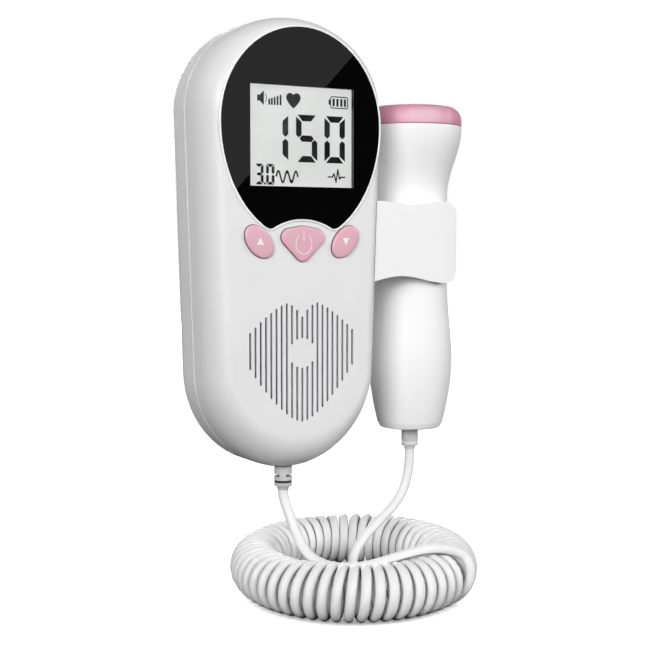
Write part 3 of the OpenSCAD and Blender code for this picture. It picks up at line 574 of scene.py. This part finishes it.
def arc(cx, cz, across, up, start, end, count):
    """Points of an elliptic arc, from and to an angle in degrees."""
    turn = np.radians(np.linspace(start, end, count))
    return [(cx + across * math.cos(a), cz + up * math.sin(a)) for a in turn]


def bent(start, corner, end, shares):
    """Points of a curve from start to end that is drawn towards a corner."""
    a, b, c = (np.array(p, float) for p in (start, corner, end))
    return [tuple((1 - t) ** 2 * a + 2 * t * (1 - t) * b + t * t * c) for t in shares]


def smooth_step(t):
    """Soft rise from 0 to 1."""
    u = min(max(t, 0.0), 1.0)
    return u * u * (3 - 2 * u)


def block(x0, x1, z0, z1):
    """Corners of an upright rectangle."""
    return [(x0, z0), (x1, z0), (x1, z1), (x0, z1)]


# ---------- strain reliefs ----------

UNIT_RELIEF_TOP = (0.0, -19.5, -67.5)
PROBE_AXIS = (48.6, -16.0)
PROBE_END = -59.2
RELIEF_R, SLOT_FLOOR_R, SLOT_BRIDGE_HALF = 2.7, 1.5, 1.1


def unit_relief():
    """Collar with two rows of flex slots, the upper open to both sides and the lower to front and back."""
    x0, y0, top = UNIT_RELIEF_TOP
    facing = math.radians(240.5)
    levels = [(0.06, None, RELIEF_R)]
    for row, begin in (("side", 2.42), ("front", 4.34)):
        levels += [(begin, None, RELIEF_R), (begin + 0.02, row, RELIEF_R), (begin + 0.72, row, RELIEF_R),
                   (begin + 0.74, None, RELIEF_R)]
    levels += [(5.95, None, RELIEF_R), (6.12, None, 2.62), (6.2, None, 2.45), (6.2, None, 2.1),
               (6.35, None, 1.98), (7.4, None, 1.62), (7.4, None, 0.02)]
    rings = []
    for down, row, radius in levels:
        ring = []
        for a in np.linspace(0, 2 * math.pi, 96, endpoint=False):
            off = {"side": abs(math.sin(a - facing)), "front": abs(math.cos(a - facing))}.get(row, 0)
            reach = radius if off * radius < SLOT_BRIDGE_HALF else SLOT_FLOOR_R
            ring.append((x0 + reach * math.cos(a), y0 + reach * math.sin(a), top - down))
        rings.append(ring)
    points, faces = stacked(rings)
    piece = mesh_piece("unit_relief", points, faces, relief_grey)
    # The slot floors take the material of painted shade.
    piece.data.materials.append(slot_painted_shade)
    for face in piece.data.polygons:
        c = face.center / MM
        if math.hypot(c.x - x0, c.y - y0) < 2.35 and 2.4 < top - c.z < 5.1:
            face.material_index = 1
    return piece


PROBE_COLLAR = [(0.02, 0.06), (RELIEF_R, 0.06), (RELIEF_R, 4.5), (2.62, 4.62), (2.5, 4.72), (2.5, 4.95),
                (2.62, 5.05), (RELIEF_R, 5.2), (RELIEF_R, 6.0), (2.6, 6.15), (2.4, 6.2), (2.05, 6.25),
                (1.98, 6.4), (1.62, 7.4), (0.02, 7.4)]
unit_collar = fitted(unit_relief(), "unit")
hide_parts("unit_strain_relief")
probe_collar = turned("probe_relief", [(r, PROBE_END - down) for r, down in PROBE_COLLAR], PROBE_AXIS,
                      relief_lightened_for_shade, 64)
fitted(probe_collar, "probe")
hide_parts("probe_strain_relief")

# ---------- cords ----------

WIRE = 3.1
RING_CENTRE = np.array([24.0, -21.5, -100.4])
RING_TURN = math.radians(30)
ACROSS = np.array([math.cos(RING_TURN), -math.sin(RING_TURN), 0.0])
ALONG = np.array([math.sin(RING_TURN), math.cos(RING_TURN), 0.0])
UP = np.array([0.0, 0.0, 1.0])
HALF_ACROSS, HALF_ALONG = 30.5, 35.0
TURNS, POINTS_PER_TURN = 53, 20
RING_FROM, RING_TO, RING_FRONT = 332.0, -26.0, 270.0
FIRST_SPIN, LAST_SPIN = 50.0, -90.0 - 360.0 * TURNS
CROWDING_AT_FRONT = 0.074
TURN_R, FIRST_TURN_R, SETTLED_AFTER = 6.85, 10.2, 110.0
DEEPER_TURN = 1.8
UNIT_LEAD = [
    (0, -19.5, -74.9), (0, -19.5, -76.4), (0.4, -20, -79), (1.2, -21.2, -82.5), (2, -23.4, -87),
    (2.6, -26.4, -91), (3.4, -30.4, -94), (5.2, -35, -95.6), (7.6, -39.6, -95.8), (10.6, -43.2, -95.4),
    (15, -46, -94.7), (20.2, -47.9, -93.2), (26.4, -49.6, -91.6), (32.4, -51.4, -90.3),
    (37.6, -53.3, -90.6), (41.4, -55.6, -92.6)]
PROBE_LEAD = [
    (48.6, -16, -66.6), (48.6, -16, -68.2), (48.4, -16.1, -71.6), (47.4, -16.3, -76.5), (44.8, -16.8, -82),
    (39.6, -17.4, -86.2), (34.2, -18, -89.8), (28.8, -18.6, -94), (24.8, -19.8, -98.4),
    (22.6, -22.4, -103), (22.4, -27.6, -106.4), (25, -35.4, -107.2), (30.2, -44.4, -107.2)]


def eased(points, per_span):
    """Smooth curve that starts and ends at a route's ends and cuts its corners a little."""
    p = np.array(points, float)
    p = np.vstack([2 * p[0] - p[1], p, 2 * p[-1] - p[-2]])
    found = []
    for i in range(len(p) - 3):
        a, b, c, d = p[i:i + 4]
        for t in np.linspace(0, 1, per_span, endpoint=False):
            found.append(((1 - t) ** 3 * a + (3 * t ** 3 - 6 * t * t + 4) * b
                          + (-3 * t ** 3 + 3 * t * t + 3 * t + 1) * c + t ** 3 * d) / 6)
    found.append((p[-3] + 4 * p[-2] + p[-1]) / 6)
    return np.array(found)


def curled_points():
    """Points of the curled wire, from the unit's lead over the ring's front and once round the ring.

    The turns lie closer at the front, the first one comes in from the wide lead, and every second
    one lies deeper on the ring's inner side at the front, where there is less room."""
    ring = np.linspace(RING_FROM, RING_TO, 4001)
    density = 1 + CROWDING_AT_FRONT * np.cos(np.radians(ring - RING_FRONT))
    gone = np.concatenate([[0], np.cumsum((density[1:] + density[:-1]) / 2)])
    spin_at = FIRST_SPIN + (LAST_SPIN - FIRST_SPIN) * gone / gone[-1]
    count = int(round((FIRST_SPIN - LAST_SPIN) / 360 * POINTS_PER_TURN))
    spins = np.linspace(FIRST_SPIN, LAST_SPIN, count + 1)
    found = []
    for spin, place in zip(spins, np.interp(-spins, -spin_at, ring)):
        t, s = math.radians(place), math.radians(spin)
        centre = RING_CENTRE + HALF_ACROSS * math.cos(t) * ACROSS + HALF_ALONG * math.sin(t) * ALONG
        out = HALF_ALONG * math.cos(t) * ACROSS + HALF_ACROSS * math.sin(t) * ALONG
        out /= np.linalg.norm(out)
        spun = FIRST_SPIN - spin
        radius = FIRST_TURN_R + (TURN_R - FIRST_TURN_R) * smooth_step(spun / SETTLED_AFTER)
        if spun // 360 % 2:
            inner = max(0.0, -math.cos(s)) ** 2
            radius -= DEEPER_TURN * inner * (0.5 + 0.5 * math.cos(t - math.radians(RING_FRONT)))
        found.append(centre + radius * (math.cos(s) * out + math.sin(s) * UP))
    return np.array(found)


def cord_line():
    """The unit's lead, the curled wire and the short tail to the probe's lead, as one line."""
    curled = curled_points()
    meet, per_span = 5, 5
    start = eased(np.vstack([UNIT_LEAD[:-1], curled[:meet + 3]]), per_span)
    keep = (len(UNIT_LEAD) - 1 + meet) * per_span + 1
    tail = np.linspace(curled[-1], PROBE_LEAD[-1], 6)[1:]
    return np.vstack([start[:keep], curled[meet + 1:], tail])


def tube(name, line, radius, material, sides=16):
    """Mesh tube along a line, with a frame carried along it so that it doesn't twist."""
    p = np.array(line, float)
    side = np.array([1.0, 0.02, 0.0])
    rings = []
    for point, way in zip(p, directions(p)):
        side = side - way * (side @ way)
        side /= np.linalg.norm(side)
        other = np.cross(way, side)
        rings.append([tuple(point + radius * (math.cos(a) * side + math.sin(a) * other))
                      for a in (2 * math.pi * k / sides for k in range(sides))])
    points, faces = stacked(rings)
    return mesh_piece(name, points, faces, material, 50.0)


curled_line = cord_line()
curve = bpy.data.curves.new("curly_cord", "CURVE")
curve.dimensions = "3D"
curve.bevel_depth = WIRE / 2 * MM
curve.bevel_resolution = 3
curve.use_fill_caps = True
spline = curve.splines.new("POLY")
spline.points.add(len(curled_line) - 1)
spline.points.foreach_set("co", np.hstack([curled_line * MM, np.ones((len(curled_line), 1))]).ravel())
spline.use_smooth = True
curve.materials.append(cord_white)
curly_cord = bpy.data.objects.new("curly_cord", curve)
scene.collection.objects.link(curly_cord)
fitted(curly_cord, "unit")
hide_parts("cord_lead_unit", "cord_coil")

probe_line = eased(PROBE_LEAD, 6)
probe_cord = tube("probe_cord", probe_line, WIRE / 2, cord_white)
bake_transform(probe_cord)
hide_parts("cord_lead_probe")


# ---------- the unit's case ----------

dressed("case_front", "front_shell", case_white, 0.12, "unit")
dressed("case_back", "back_shell", case_white, 0.12, "unit")
dressed("battery_lid", "battery_door", case_white, 0.15, "door")
dressed("probe_clip", "probe_holder", clip_white, 0.5, "unit")

# ---------- lens and display ----------

WINDOW = block(-17.1, 17.1, 17.0, 46.2)
LENS_BACK, LENS_FACE, PANEL_FACE = 30.85, 32.35, 29.6
EGG_Z, EGG_HALF, EGG_UP, EGG_DOWN = 35.3, 26.35, 28.0, 34.0
ARCH_TOP_Z, ARCH_R = 7.5, 19.3
TIP_ROUNDING = 0.07


def egg(t):
    """Point of the lens's egg at an angle."""
    return EGG_HALF * math.cos(t), EGG_Z + (EGG_UP if math.sin(t) >= 0 else EGG_DOWN) * math.sin(t)


def lens_outline():
    """Egg with a shallow arch cut out of its lower end and rounded tips."""
    arch_z = ARCH_TOP_Z - ARCH_R
    low = min(t for t in np.linspace(math.pi * 1.5, math.pi * 2, 4001)
              if math.hypot(egg(t)[0], egg(t)[1] - arch_z) > ARCH_R)
    corner = egg(low)
    arch_end = math.atan2(corner[1] - arch_z, corner[0]) + TIP_ROUNDING
    arch = arc(0, arch_z, ARCH_R, ARCH_R, 90, math.degrees(arch_end), 30)
    right = [egg(t) for t in np.linspace(low + TIP_ROUNDING, math.pi * 2.5, 90)]
    tip = bent(arch[-1], corner, right[0], np.linspace(0.12, 0.88, 8))
    half_way = arch + tip + right
    return half_way + [(-x, z) for x, z in half_way[-2:0:-1]]


def grown(outline, width):
    """Outline moved outwards."""
    p = np.array(outline)
    along = np.roll(p, -1, axis=0) - np.roll(p, 1, axis=0)
    along /= np.linalg.norm(along, axis=1)[:, None]
    turn = np.sum(p[:, 0] * np.roll(p[:, 1], -1) - p[:, 1] * np.roll(p[:, 0], -1))
    return p + math.copysign(width, turn) * np.stack([along[:, 1], -along[:, 0]], 1)


lens_cover = joined_prisms("lens_cover", [lens_outline()], LENS_BACK, LENS_FACE, lens_black)
cutter = joined_prisms("window_cutter", [WINDOW], LENS_BACK - 1, LENS_FACE + 1, lens_black)
cut = lens_cover.modifiers.new("window", "BOOLEAN")
cut.object = cutter
cut.solver = "EXACT"
bpy.context.view_layer.update()
carved = bpy.data.meshes.new_from_object(lens_cover.evaluated_get(bpy.context.evaluated_depsgraph_get()))
lens_cover.modifiers.clear()
lens_cover.data = carved
carved.shade_smooth()
carved.set_sharp_from_angle(angle=math.radians(35))
bpy.data.objects.remove(cutter)
softened(lens_cover, 0.12)
fitted(lens_cover, "unit")
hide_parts("lens_window")

RIM_SECTION = [(0.03, 30.0), (0.03, 32.4), (0.1, 32.48), (0.34, 32.48), (0.48, 32.42), (0.54, 32.28),
               (0.54, 30.0)]
rim_rings = [[(x, -d, z) for x, z in grown(lens_outline(), w)] for w, d in RIM_SECTION + RIM_SECTION[:1]]
lens_rim = mesh_piece("lens_rim", *stacked(rim_rings, ends=False), rim_white_highlight, 50.0, merge=0.0005)
fitted(lens_rim, "unit")
window_plate = joined_prisms("window_plate", [WINDOW], LENS_BACK, LENS_FACE, window_clear)
fitted(window_plate, "unit")


def numeral(x0, x1, z0, z1, bar, gap, lit):
    """Outlines of the lit bars of a seven-bar numeral: a b c d e f g, clockwise from the top."""
    half, mid = bar / 2, (z0 + z1) / 2
    upper_left = [(x0, z1 - gap - 0.15 * bar), (x0 + bar, z1 - gap - bar), (x0 + bar, mid + half + gap / 2),
                  (x0 + half, mid + gap), (x0, mid + half + gap / 2)]
    top = [(x0 + gap + 0.15 * bar, z1), (x1 - gap - 0.15 * bar, z1), (x1 - bar - gap, z1 - bar),
           (x0 + bar + gap, z1 - bar)]
    middle = [(x0 + half + gap, mid), (x0 + bar + gap / 2, mid + half), (x1 - bar - gap / 2, mid + half),
              (x1 - half - gap, mid), (x1 - bar - gap / 2, mid - half), (x0 + bar + gap / 2, mid - half)]
    across = lambda shape: [(x0 + x1 - x, z) for x, z in shape]
    down = lambda shape: [(x, z0 + z1 - z) for x, z in shape]
    bars = {"a": top, "b": across(upper_left), "c": down(across(upper_left)), "d": down(top),
            "e": down(upper_left), "f": upper_left, "g": middle}
    return [bars[k] for k in lit]


def heart(cx, low, high, half):
    """Outline of a plump heart: two lobes and two flanks that bulge a little."""
    lobe = half * 0.54
    upper = arc(half - lobe, high - lobe, lobe, lobe, -28, 148, 26)
    flank = bent(upper[0], (half * 0.72, low + (high - low) * 0.3), (0, low), np.linspace(1, 0.08, 9))
    right = flank + upper
    return [(cx + x, z) for x, z in right] + [(cx - x, z) for x, z in right[:0:-1]]


def rounded_frame(x0, x1, z0, z1, corner, line):
    """Short strokes that make a rounded frame."""
    path = []
    for cx, cz, start in ((x1 - corner, z1 - corner, 0), (x0 + corner, z1 - corner, 90),
                          (x0 + corner, z0 + corner, 180), (x1 - corner, z0 + corner, 270)):
        path += arc(cx, cz, corner, corner, start, start + 90, 4)
    return [stroke([p, q], line) for p, q in zip(path, path[1:] + path[:1])]


def display_marks():
    """Numerals and plain signs of the display: sound, level, heart, battery, wave and pulse."""
    shapes = []
    for x0, x1, lit in ((-10.8, -3.7, "bc"), (-1.1, 6.05, "acdfg"), (8.5, 15.55, "abcdef")):
        shapes += numeral(x0, x1, 24.3, 38.2, 1.85, 0.26, lit)
    shapes += numeral(-14.6, -11.85, 17.5, 23.5, 0.86, 0.1, "abcdg")
    shapes += numeral(-10.95, -8.3, 17.5, 23.5, 0.84, 0.1, "abcdef")
    shapes.append(block(-11.65, -11.1, 17.5, 18.1))
    horn = [(-13.8, 41.6), (-12.95, 41.6), (-11.65, 40.3), (-11.65, 44.6), (-12.95, 43.3), (-13.8, 43.3)]
    shapes += [horn, stroke(arc(-11.9, 42.45, 1.1, 1.5, -51.57, 51.57, 9), 0.2)]
    for x, top in ((-9.9, 42.3), (-9.05, 42.6), (-8.15, 42.9), (-7.2, 43.25), (-6.2, 43.6)):
        shapes.append(block(x - 0.29, x + 0.29, 40.6, top))
    shapes.append(heart(-1.95, 39.85, 44.35, 2.4))
    shapes += rounded_frame(10.6, 16.5, 40.7, 44.0, 0.5, 0.3)
    shapes.append(block(9.95, 10.5, 41.6, 43.1))
    shapes += [block(x, x + 0.72, 41.2, 43.45) for x in (11.3, 12.6, 13.95, 15.2)]
    wave_from, wave_to, wave_length, wave_z, wave_half = -7.7, -0.45, 2.9, 19.9, 1.7
    shapes.append(stroke([(x, wave_z + wave_half * math.sin((x - wave_from) * 2 * math.pi / wave_length))
                          for x in np.linspace(wave_from, wave_to, 60)], 0.5))
    pulse = np.array([(9.7, 20.2), (11.2, 20.2), (11.8, 21.2), (12.5, 18.7), (13.1, 22.4), (13.7, 19.6),
                      (14.1, 20.2), (15.6, 20.2)])
    for p, q in zip(pulse, pulse[1:]):
        overlap = (q - p) * 0.06
        shapes.append(stroke([p - overlap, q + overlap], 0.42))
    return shapes


marks = joined_prisms("display_marks", display_marks(), PANEL_FACE + 0.005, PANEL_FACE + 0.04, segment_dark)
fitted(marks, "unit")

# ---------- buttons ----------

POST_R, POST_END = 1.8, 25.4
RIM_WIDTH, RIM_BACK, RIM_FACE = 0.8, 28.6, 29.6
CROWN = [(1.0, 32.3), (0.995, 32.5), (0.975, 32.68), (0.94, 32.8), (0.88, 32.88), (0.78, 32.94),
         (0.62, 32.98), (0.3, 33.0), (0.02, 33.0)]
SIGN_BACK, SIGN_FACE = 32.985, 33.03


def power_outline():
    """Rounded triangle of the middle button about its own centre, pointing down."""
    circles = [(-4.6, 1.9, 2.6), (4.6, 1.9, 2.6), (0.0, 3.7, 1.6), (0.0, -2.7, 2.6)]
    found = []
    for a in np.linspace(0, 2 * math.pi, 180, endpoint=False):
        way = np.array([math.cos(a), math.sin(a)])
        cx, cz, r = max(circles, key=lambda c: c[0] * way[0] + c[1] * way[1] + c[2])
        found.append((cx + r * way[0], cz + r * way[1]))
    return found


def side_outline(side):
    """Slanted ellipse of an outer button about its own centre, on the left (-1) or right (1)."""
    half_length, half_width, slant = 5.6, 3.7, math.radians(side * 49)
    return [(half_length * math.cos(a) * math.cos(slant) - half_width * math.sin(a) * math.sin(slant),
             half_length * math.cos(a) * math.sin(slant) + half_width * math.sin(a) * math.cos(slant))
            for a in np.linspace(0, 2 * math.pi, 120, endpoint=False)]


def button(name, outline, centre, node, body):
    """Crowned button with its rim behind the wall and its post."""
    rim = [tuple((1 + RIM_WIDTH / math.hypot(*p)) * c for c in p) for p in outline]
    post = [tuple(POST_R * c / math.hypot(*p) for c in p) for p in outline]
    levels = [(post, 0.01, POST_END), (post, 1, POST_END), (post, 1, RIM_BACK), (rim, 1, RIM_BACK),
              (rim, 1, RIM_FACE), (outline, 1, RIM_FACE)]
    levels += [(outline, size, depth) for size, depth in CROWN]
    rings = [[(centre[0] + x * size, -depth, centre[1] + z * size) for x, z in shape]
             for shape, size, depth in levels]
    piece = mesh_piece(name, *stacked(rings), button_pink, 40.0)
    fitted(piece, body)
    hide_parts(node)


def sign(name, outlines, material, body):
    """Printed sign on a button's crown."""
    fitted(joined_prisms(name, outlines, SIGN_BACK, SIGN_FACE, material), body)


button("key_up", side_outline(-1), (-14.4, 0.9), "up_button", "up_key")
button("key_power", power_outline(), (0, 0.3), "power_button", "power_key")
button("key_down", side_outline(1), (14.4, 0.9), "down_button", "down_key")
sign("sign_up", [[(-15.45, 0.0), (-13.15, 0.0), (-14.3, 2.15)]], symbol_white, "up_key")
sign("sign_down", [[(13.25, 2.0), (15.45, 2.0), (14.35, -0.15)]], symbol_white, "down_key")
power_ring = arc(0, 0.25, 2.65, 2.95, 127, 413, 60)
sign("sign_power", [stroke(power_ring, 0.34), stroke([(0, 0.9), (0, 4.2)], 0.36)], symbol_pale, "power_key")

# ---------- probe ----------

FOOT_R, BULGE_R, HANDLE_R, HEAD_R = 10.1, 13.5, 11.8, 16.2
BULGE_Z, WAIST_FROM, FLARE_FROM, FLARE_TO = -37.0, -12.0, 16.5, 36.6
SHELL_WALL, CAP_WALL, SPIGOT_R, BORE_R, CORD_HOLE_R = 1.9, 1.6, 14.1, 12.7, 2.1
CAP_TOP, CAP_JOINT, CAP_ROUNDING, SPIGOT_LENGTH = 43.85, 37.65, 4.4, 5.0


def probe_radius(z):
    """Radius of the probe's shell at a height: flared head, waist in the clip, tapering handle."""
    if z > FLARE_FROM:
        return HANDLE_R + (HEAD_R - HANDLE_R) * smooth_step((z - FLARE_FROM) / (FLARE_TO - FLARE_FROM))
    if z > WAIST_FROM:
        return HANDLE_R
    if z > BULGE_Z:
        return HANDLE_R + (BULGE_R - HANDLE_R) * smooth_step((WAIST_FROM - z) / (WAIST_FROM - BULGE_Z))
    return FOOT_R + (BULGE_R - FOOT_R) * (1 - ((BULGE_Z - z) / (BULGE_Z - PROBE_END)) ** 1.8)


shell = [(CORD_HOLE_R, PROBE_END), (9.1, PROBE_END), (9.5, -59.12), (9.8, -58.9), (10.0, -58.6),
         (10.1, -58.2)]
shell += [(probe_radius(z), z) for z in np.linspace(-57.6, 37.35, 110)] + [(16.15, 37.5), (16.0, 37.6)]
shell += [(probe_radius(z) - SHELL_WALL, z) for z in np.linspace(37.6, -57.1, 60)]
shell += [(CORD_HOLE_R, -57.3), (CORD_HOLE_R, PROBE_END)]
probe_body = fitted(turned("probe_body", shell, PROBE_AXIS, probe_white), "probe")
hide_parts("probe_shell")

spigot_end, inner_top = CAP_JOINT - SPIGOT_LENGTH, CAP_TOP - CAP_WALL
cap = [(SPIGOT_R, spigot_end), (SPIGOT_R, CAP_JOINT), (16.0, CAP_JOINT), (16.15, CAP_JOINT + 0.12),
       (HEAD_R, CAP_JOINT + 0.35)]
cap += arc(HEAD_R - CAP_ROUNDING, CAP_TOP - CAP_ROUNDING, CAP_ROUNDING, CAP_ROUNDING, 0, 90, 22)
cap += [(r, CAP_TOP) for r in (10, 8, 5, 2, 0)]
cap += [(0, inner_top), (BORE_R, inner_top), (BORE_R, spigot_end), (SPIGOT_R, spigot_end)]
probe_head = fitted(turned("probe_head", cap, PROBE_AXIS, head_pink), "probe")
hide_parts("probe_cap")

# ---------- finishes of the nodes that stay ----------

FINISHES = (
    (panel_grey, "lcd_glass"),
    (guide_acrylic, "lcd_backlight"),
    (tray_white, "lcd_frame"),
    (contact_rubber, "lcd_connector"),
    (board_green, "main_board", "probe_board"),
    (dark_plastic, "board_chips", "key_switches", "speaker_frame", "headphone_jack"),
    (steel, "board_screws", "case_screws", "holder_screws"),
    (stem_plastic, "power_stem", "up_stem", "down_stem"),
    (paper_cone, "speaker_cone"),
    (magnet_steel, "speaker_magnet"),
    (cell_sleeve, "battery_cells"),
    (contact_nickel, "cell_contacts", "cell_springs"),
    (crystal_ceramic, "crystals"),
    (holder_plastic, "crystal_holder"),
    (backing_resin, "backing_block"))
for material, *finished in FINISHES:
    for node in finished:
        nodes[node].data.materials.clear()
        nodes[node].data.materials.append(material)

# ---------- floor, world and lights ----------

FLOOR_Z = -0.10885


def flat_card(name, corners, material):
    """Flat four-cornered part of the studio, in metres."""
    mesh = bpy.data.meshes.new(name)
    mesh.from_pydata(corners, [], [(0, 1, 2, 3)])
    mesh.materials.append(material)
    card = bpy.data.objects.new(name, mesh)
    scene.collection.objects.link(card)
    return card


floor_pale, tree, shader = start_material("floor_pale")
seen = tree.nodes.new("ShaderNodeLightPath").outputs["Is Camera Ray"]
# The floor's glow, which only the camera sees, is dimmed by occlusion next to the cord and the unit: a
# painted contact shadow.
clear = placed(tree, OPEN_SURFACE, Reach=0.022, Shut=0.08, Open=0.34).outputs["Mask"]
tree.links.new(blended(tree, seen, (0.05, 0.05, 0.05), (0.5, 0.5, 0.5)), shader.inputs["Base Color"])
tree.links.new(blended(tree, clear, (0.25, 0.25, 0.25), (1.0, 1.0, 1.0)), shader.inputs["Emission Color"])
tree.links.new(times(tree, seen, 0.95), shader.inputs["Emission Strength"])
shader.inputs["Roughness"].default_value = 1
shader.inputs["Specular IOR Level"].default_value = 0
FLOOR_CORNERS = [(-12, -12, FLOOR_Z), (12, -12, FLOOR_Z), (12, 30, FLOOR_Z), (-12, 30, FLOOR_Z)]
flat_card("floor", FLOOR_CORNERS, floor_pale)

# The camera sees white, gloss sees a dark front and a brighter back, and the air is dimmer above.
world = bpy.data.worlds.new("studio")
scene.world = world
world.use_nodes = True
tree = world.node_tree
rays = tree.nodes.new("ShaderNodeLightPath")
way = tree.nodes.new("ShaderNodeSeparateXYZ")
tree.links.new(tree.nodes.new("ShaderNodeTexCoord").outputs["Generated"], way.inputs[0])
sheen = blended(tree, spread(tree, way.outputs["Y"], -0.05, 0.5), (0.02, 0.02, 0.02), (0.35, 0.35, 0.35))
air = blended(tree, spread(tree, way.outputs["Z"], 0.1, 0.9), (0.29, 0.29, 0.292), (0.08, 0.08, 0.08))
room = blended(tree, rays.outputs["Is Glossy Ray"], air, sheen)
backdrop = blended(tree, rays.outputs["Is Camera Ray"], room, (1.0, 1.0, 1.0))
tree.links.new(backdrop, tree.nodes["Background"].inputs["Color"])


def softbox(name, place, aim, size, power):
    """Large soft area light."""
    light = bpy.data.lights.new(name, "AREA")
    light.shape = "RECTANGLE"
    light.size, light.size_y = size
    light.energy = power
    lamp = bpy.data.objects.new(name, light)
    scene.collection.objects.link(lamp)
    lamp.location = place
    lamp.rotation_euler = (Vector(aim) - Vector(place)).to_track_quat("-Z", "Y").to_euler()


softbox("front", (0.0, -1.38, 0.44), (0.02, -0.02, 0.0), (0.8, 0.6), 7.0)
softbox("left", (-1.05, -0.78, 0.38), (-0.02, -0.02, 0.0), (0.7, 0.5), 14.0)
softbox("right", (1.2, -0.8, 0.38), (0.03, -0.02, 0.0), (0.7, 0.5), 8.6)
softbox("top", (0.05, -0.3, 1.2), (0.02, -0.02, 0.0), (0.7, 0.7), 0.3)
softbox("back", (0.55, 1.4, 0.3), (0.02, 0.0, 0.0), (0.9, 0.5), 14)


def mirrored(x, z, depth=1.5):
    """Where the camera sees a point of an upright card in the lens, from the point on the lens."""
    face = -LENS_FACE * MM
    eye = (camera.location.x, 2 * face - camera.location.y, camera.location.z)
    reach = (-depth - eye[1]) / (face - eye[1])
    return (eye[0] + reach * (x * MM - eye[0]), -depth, eye[2] + reach * (z * MM - eye[2]))


# A dim card that only gloss sees: its slanted edge is the diagonal reflection in the lens.
CARD_ON_LENS = ((-60, -24.3), (38.5, 78.7), (38.5, 150), (-60, 150))
card_grey, tree, shader = start_material("card_grey")
shader.inputs["Base Color"].default_value = (0, 0, 0, 1)
shader.inputs["Specular IOR Level"].default_value = 0
shader.inputs["Emission Color"].default_value = (1, 1, 1, 1)
shader.inputs["Emission Strength"].default_value = 0.57
dim_card = flat_card("dim_card", [mirrored(*p) for p in CARD_ON_LENS], card_grey)
for ray in ("camera", "diffuse", "shadow", "transmission", "volume_scatter"):
    setattr(dim_card, "visible_" + ray, False)
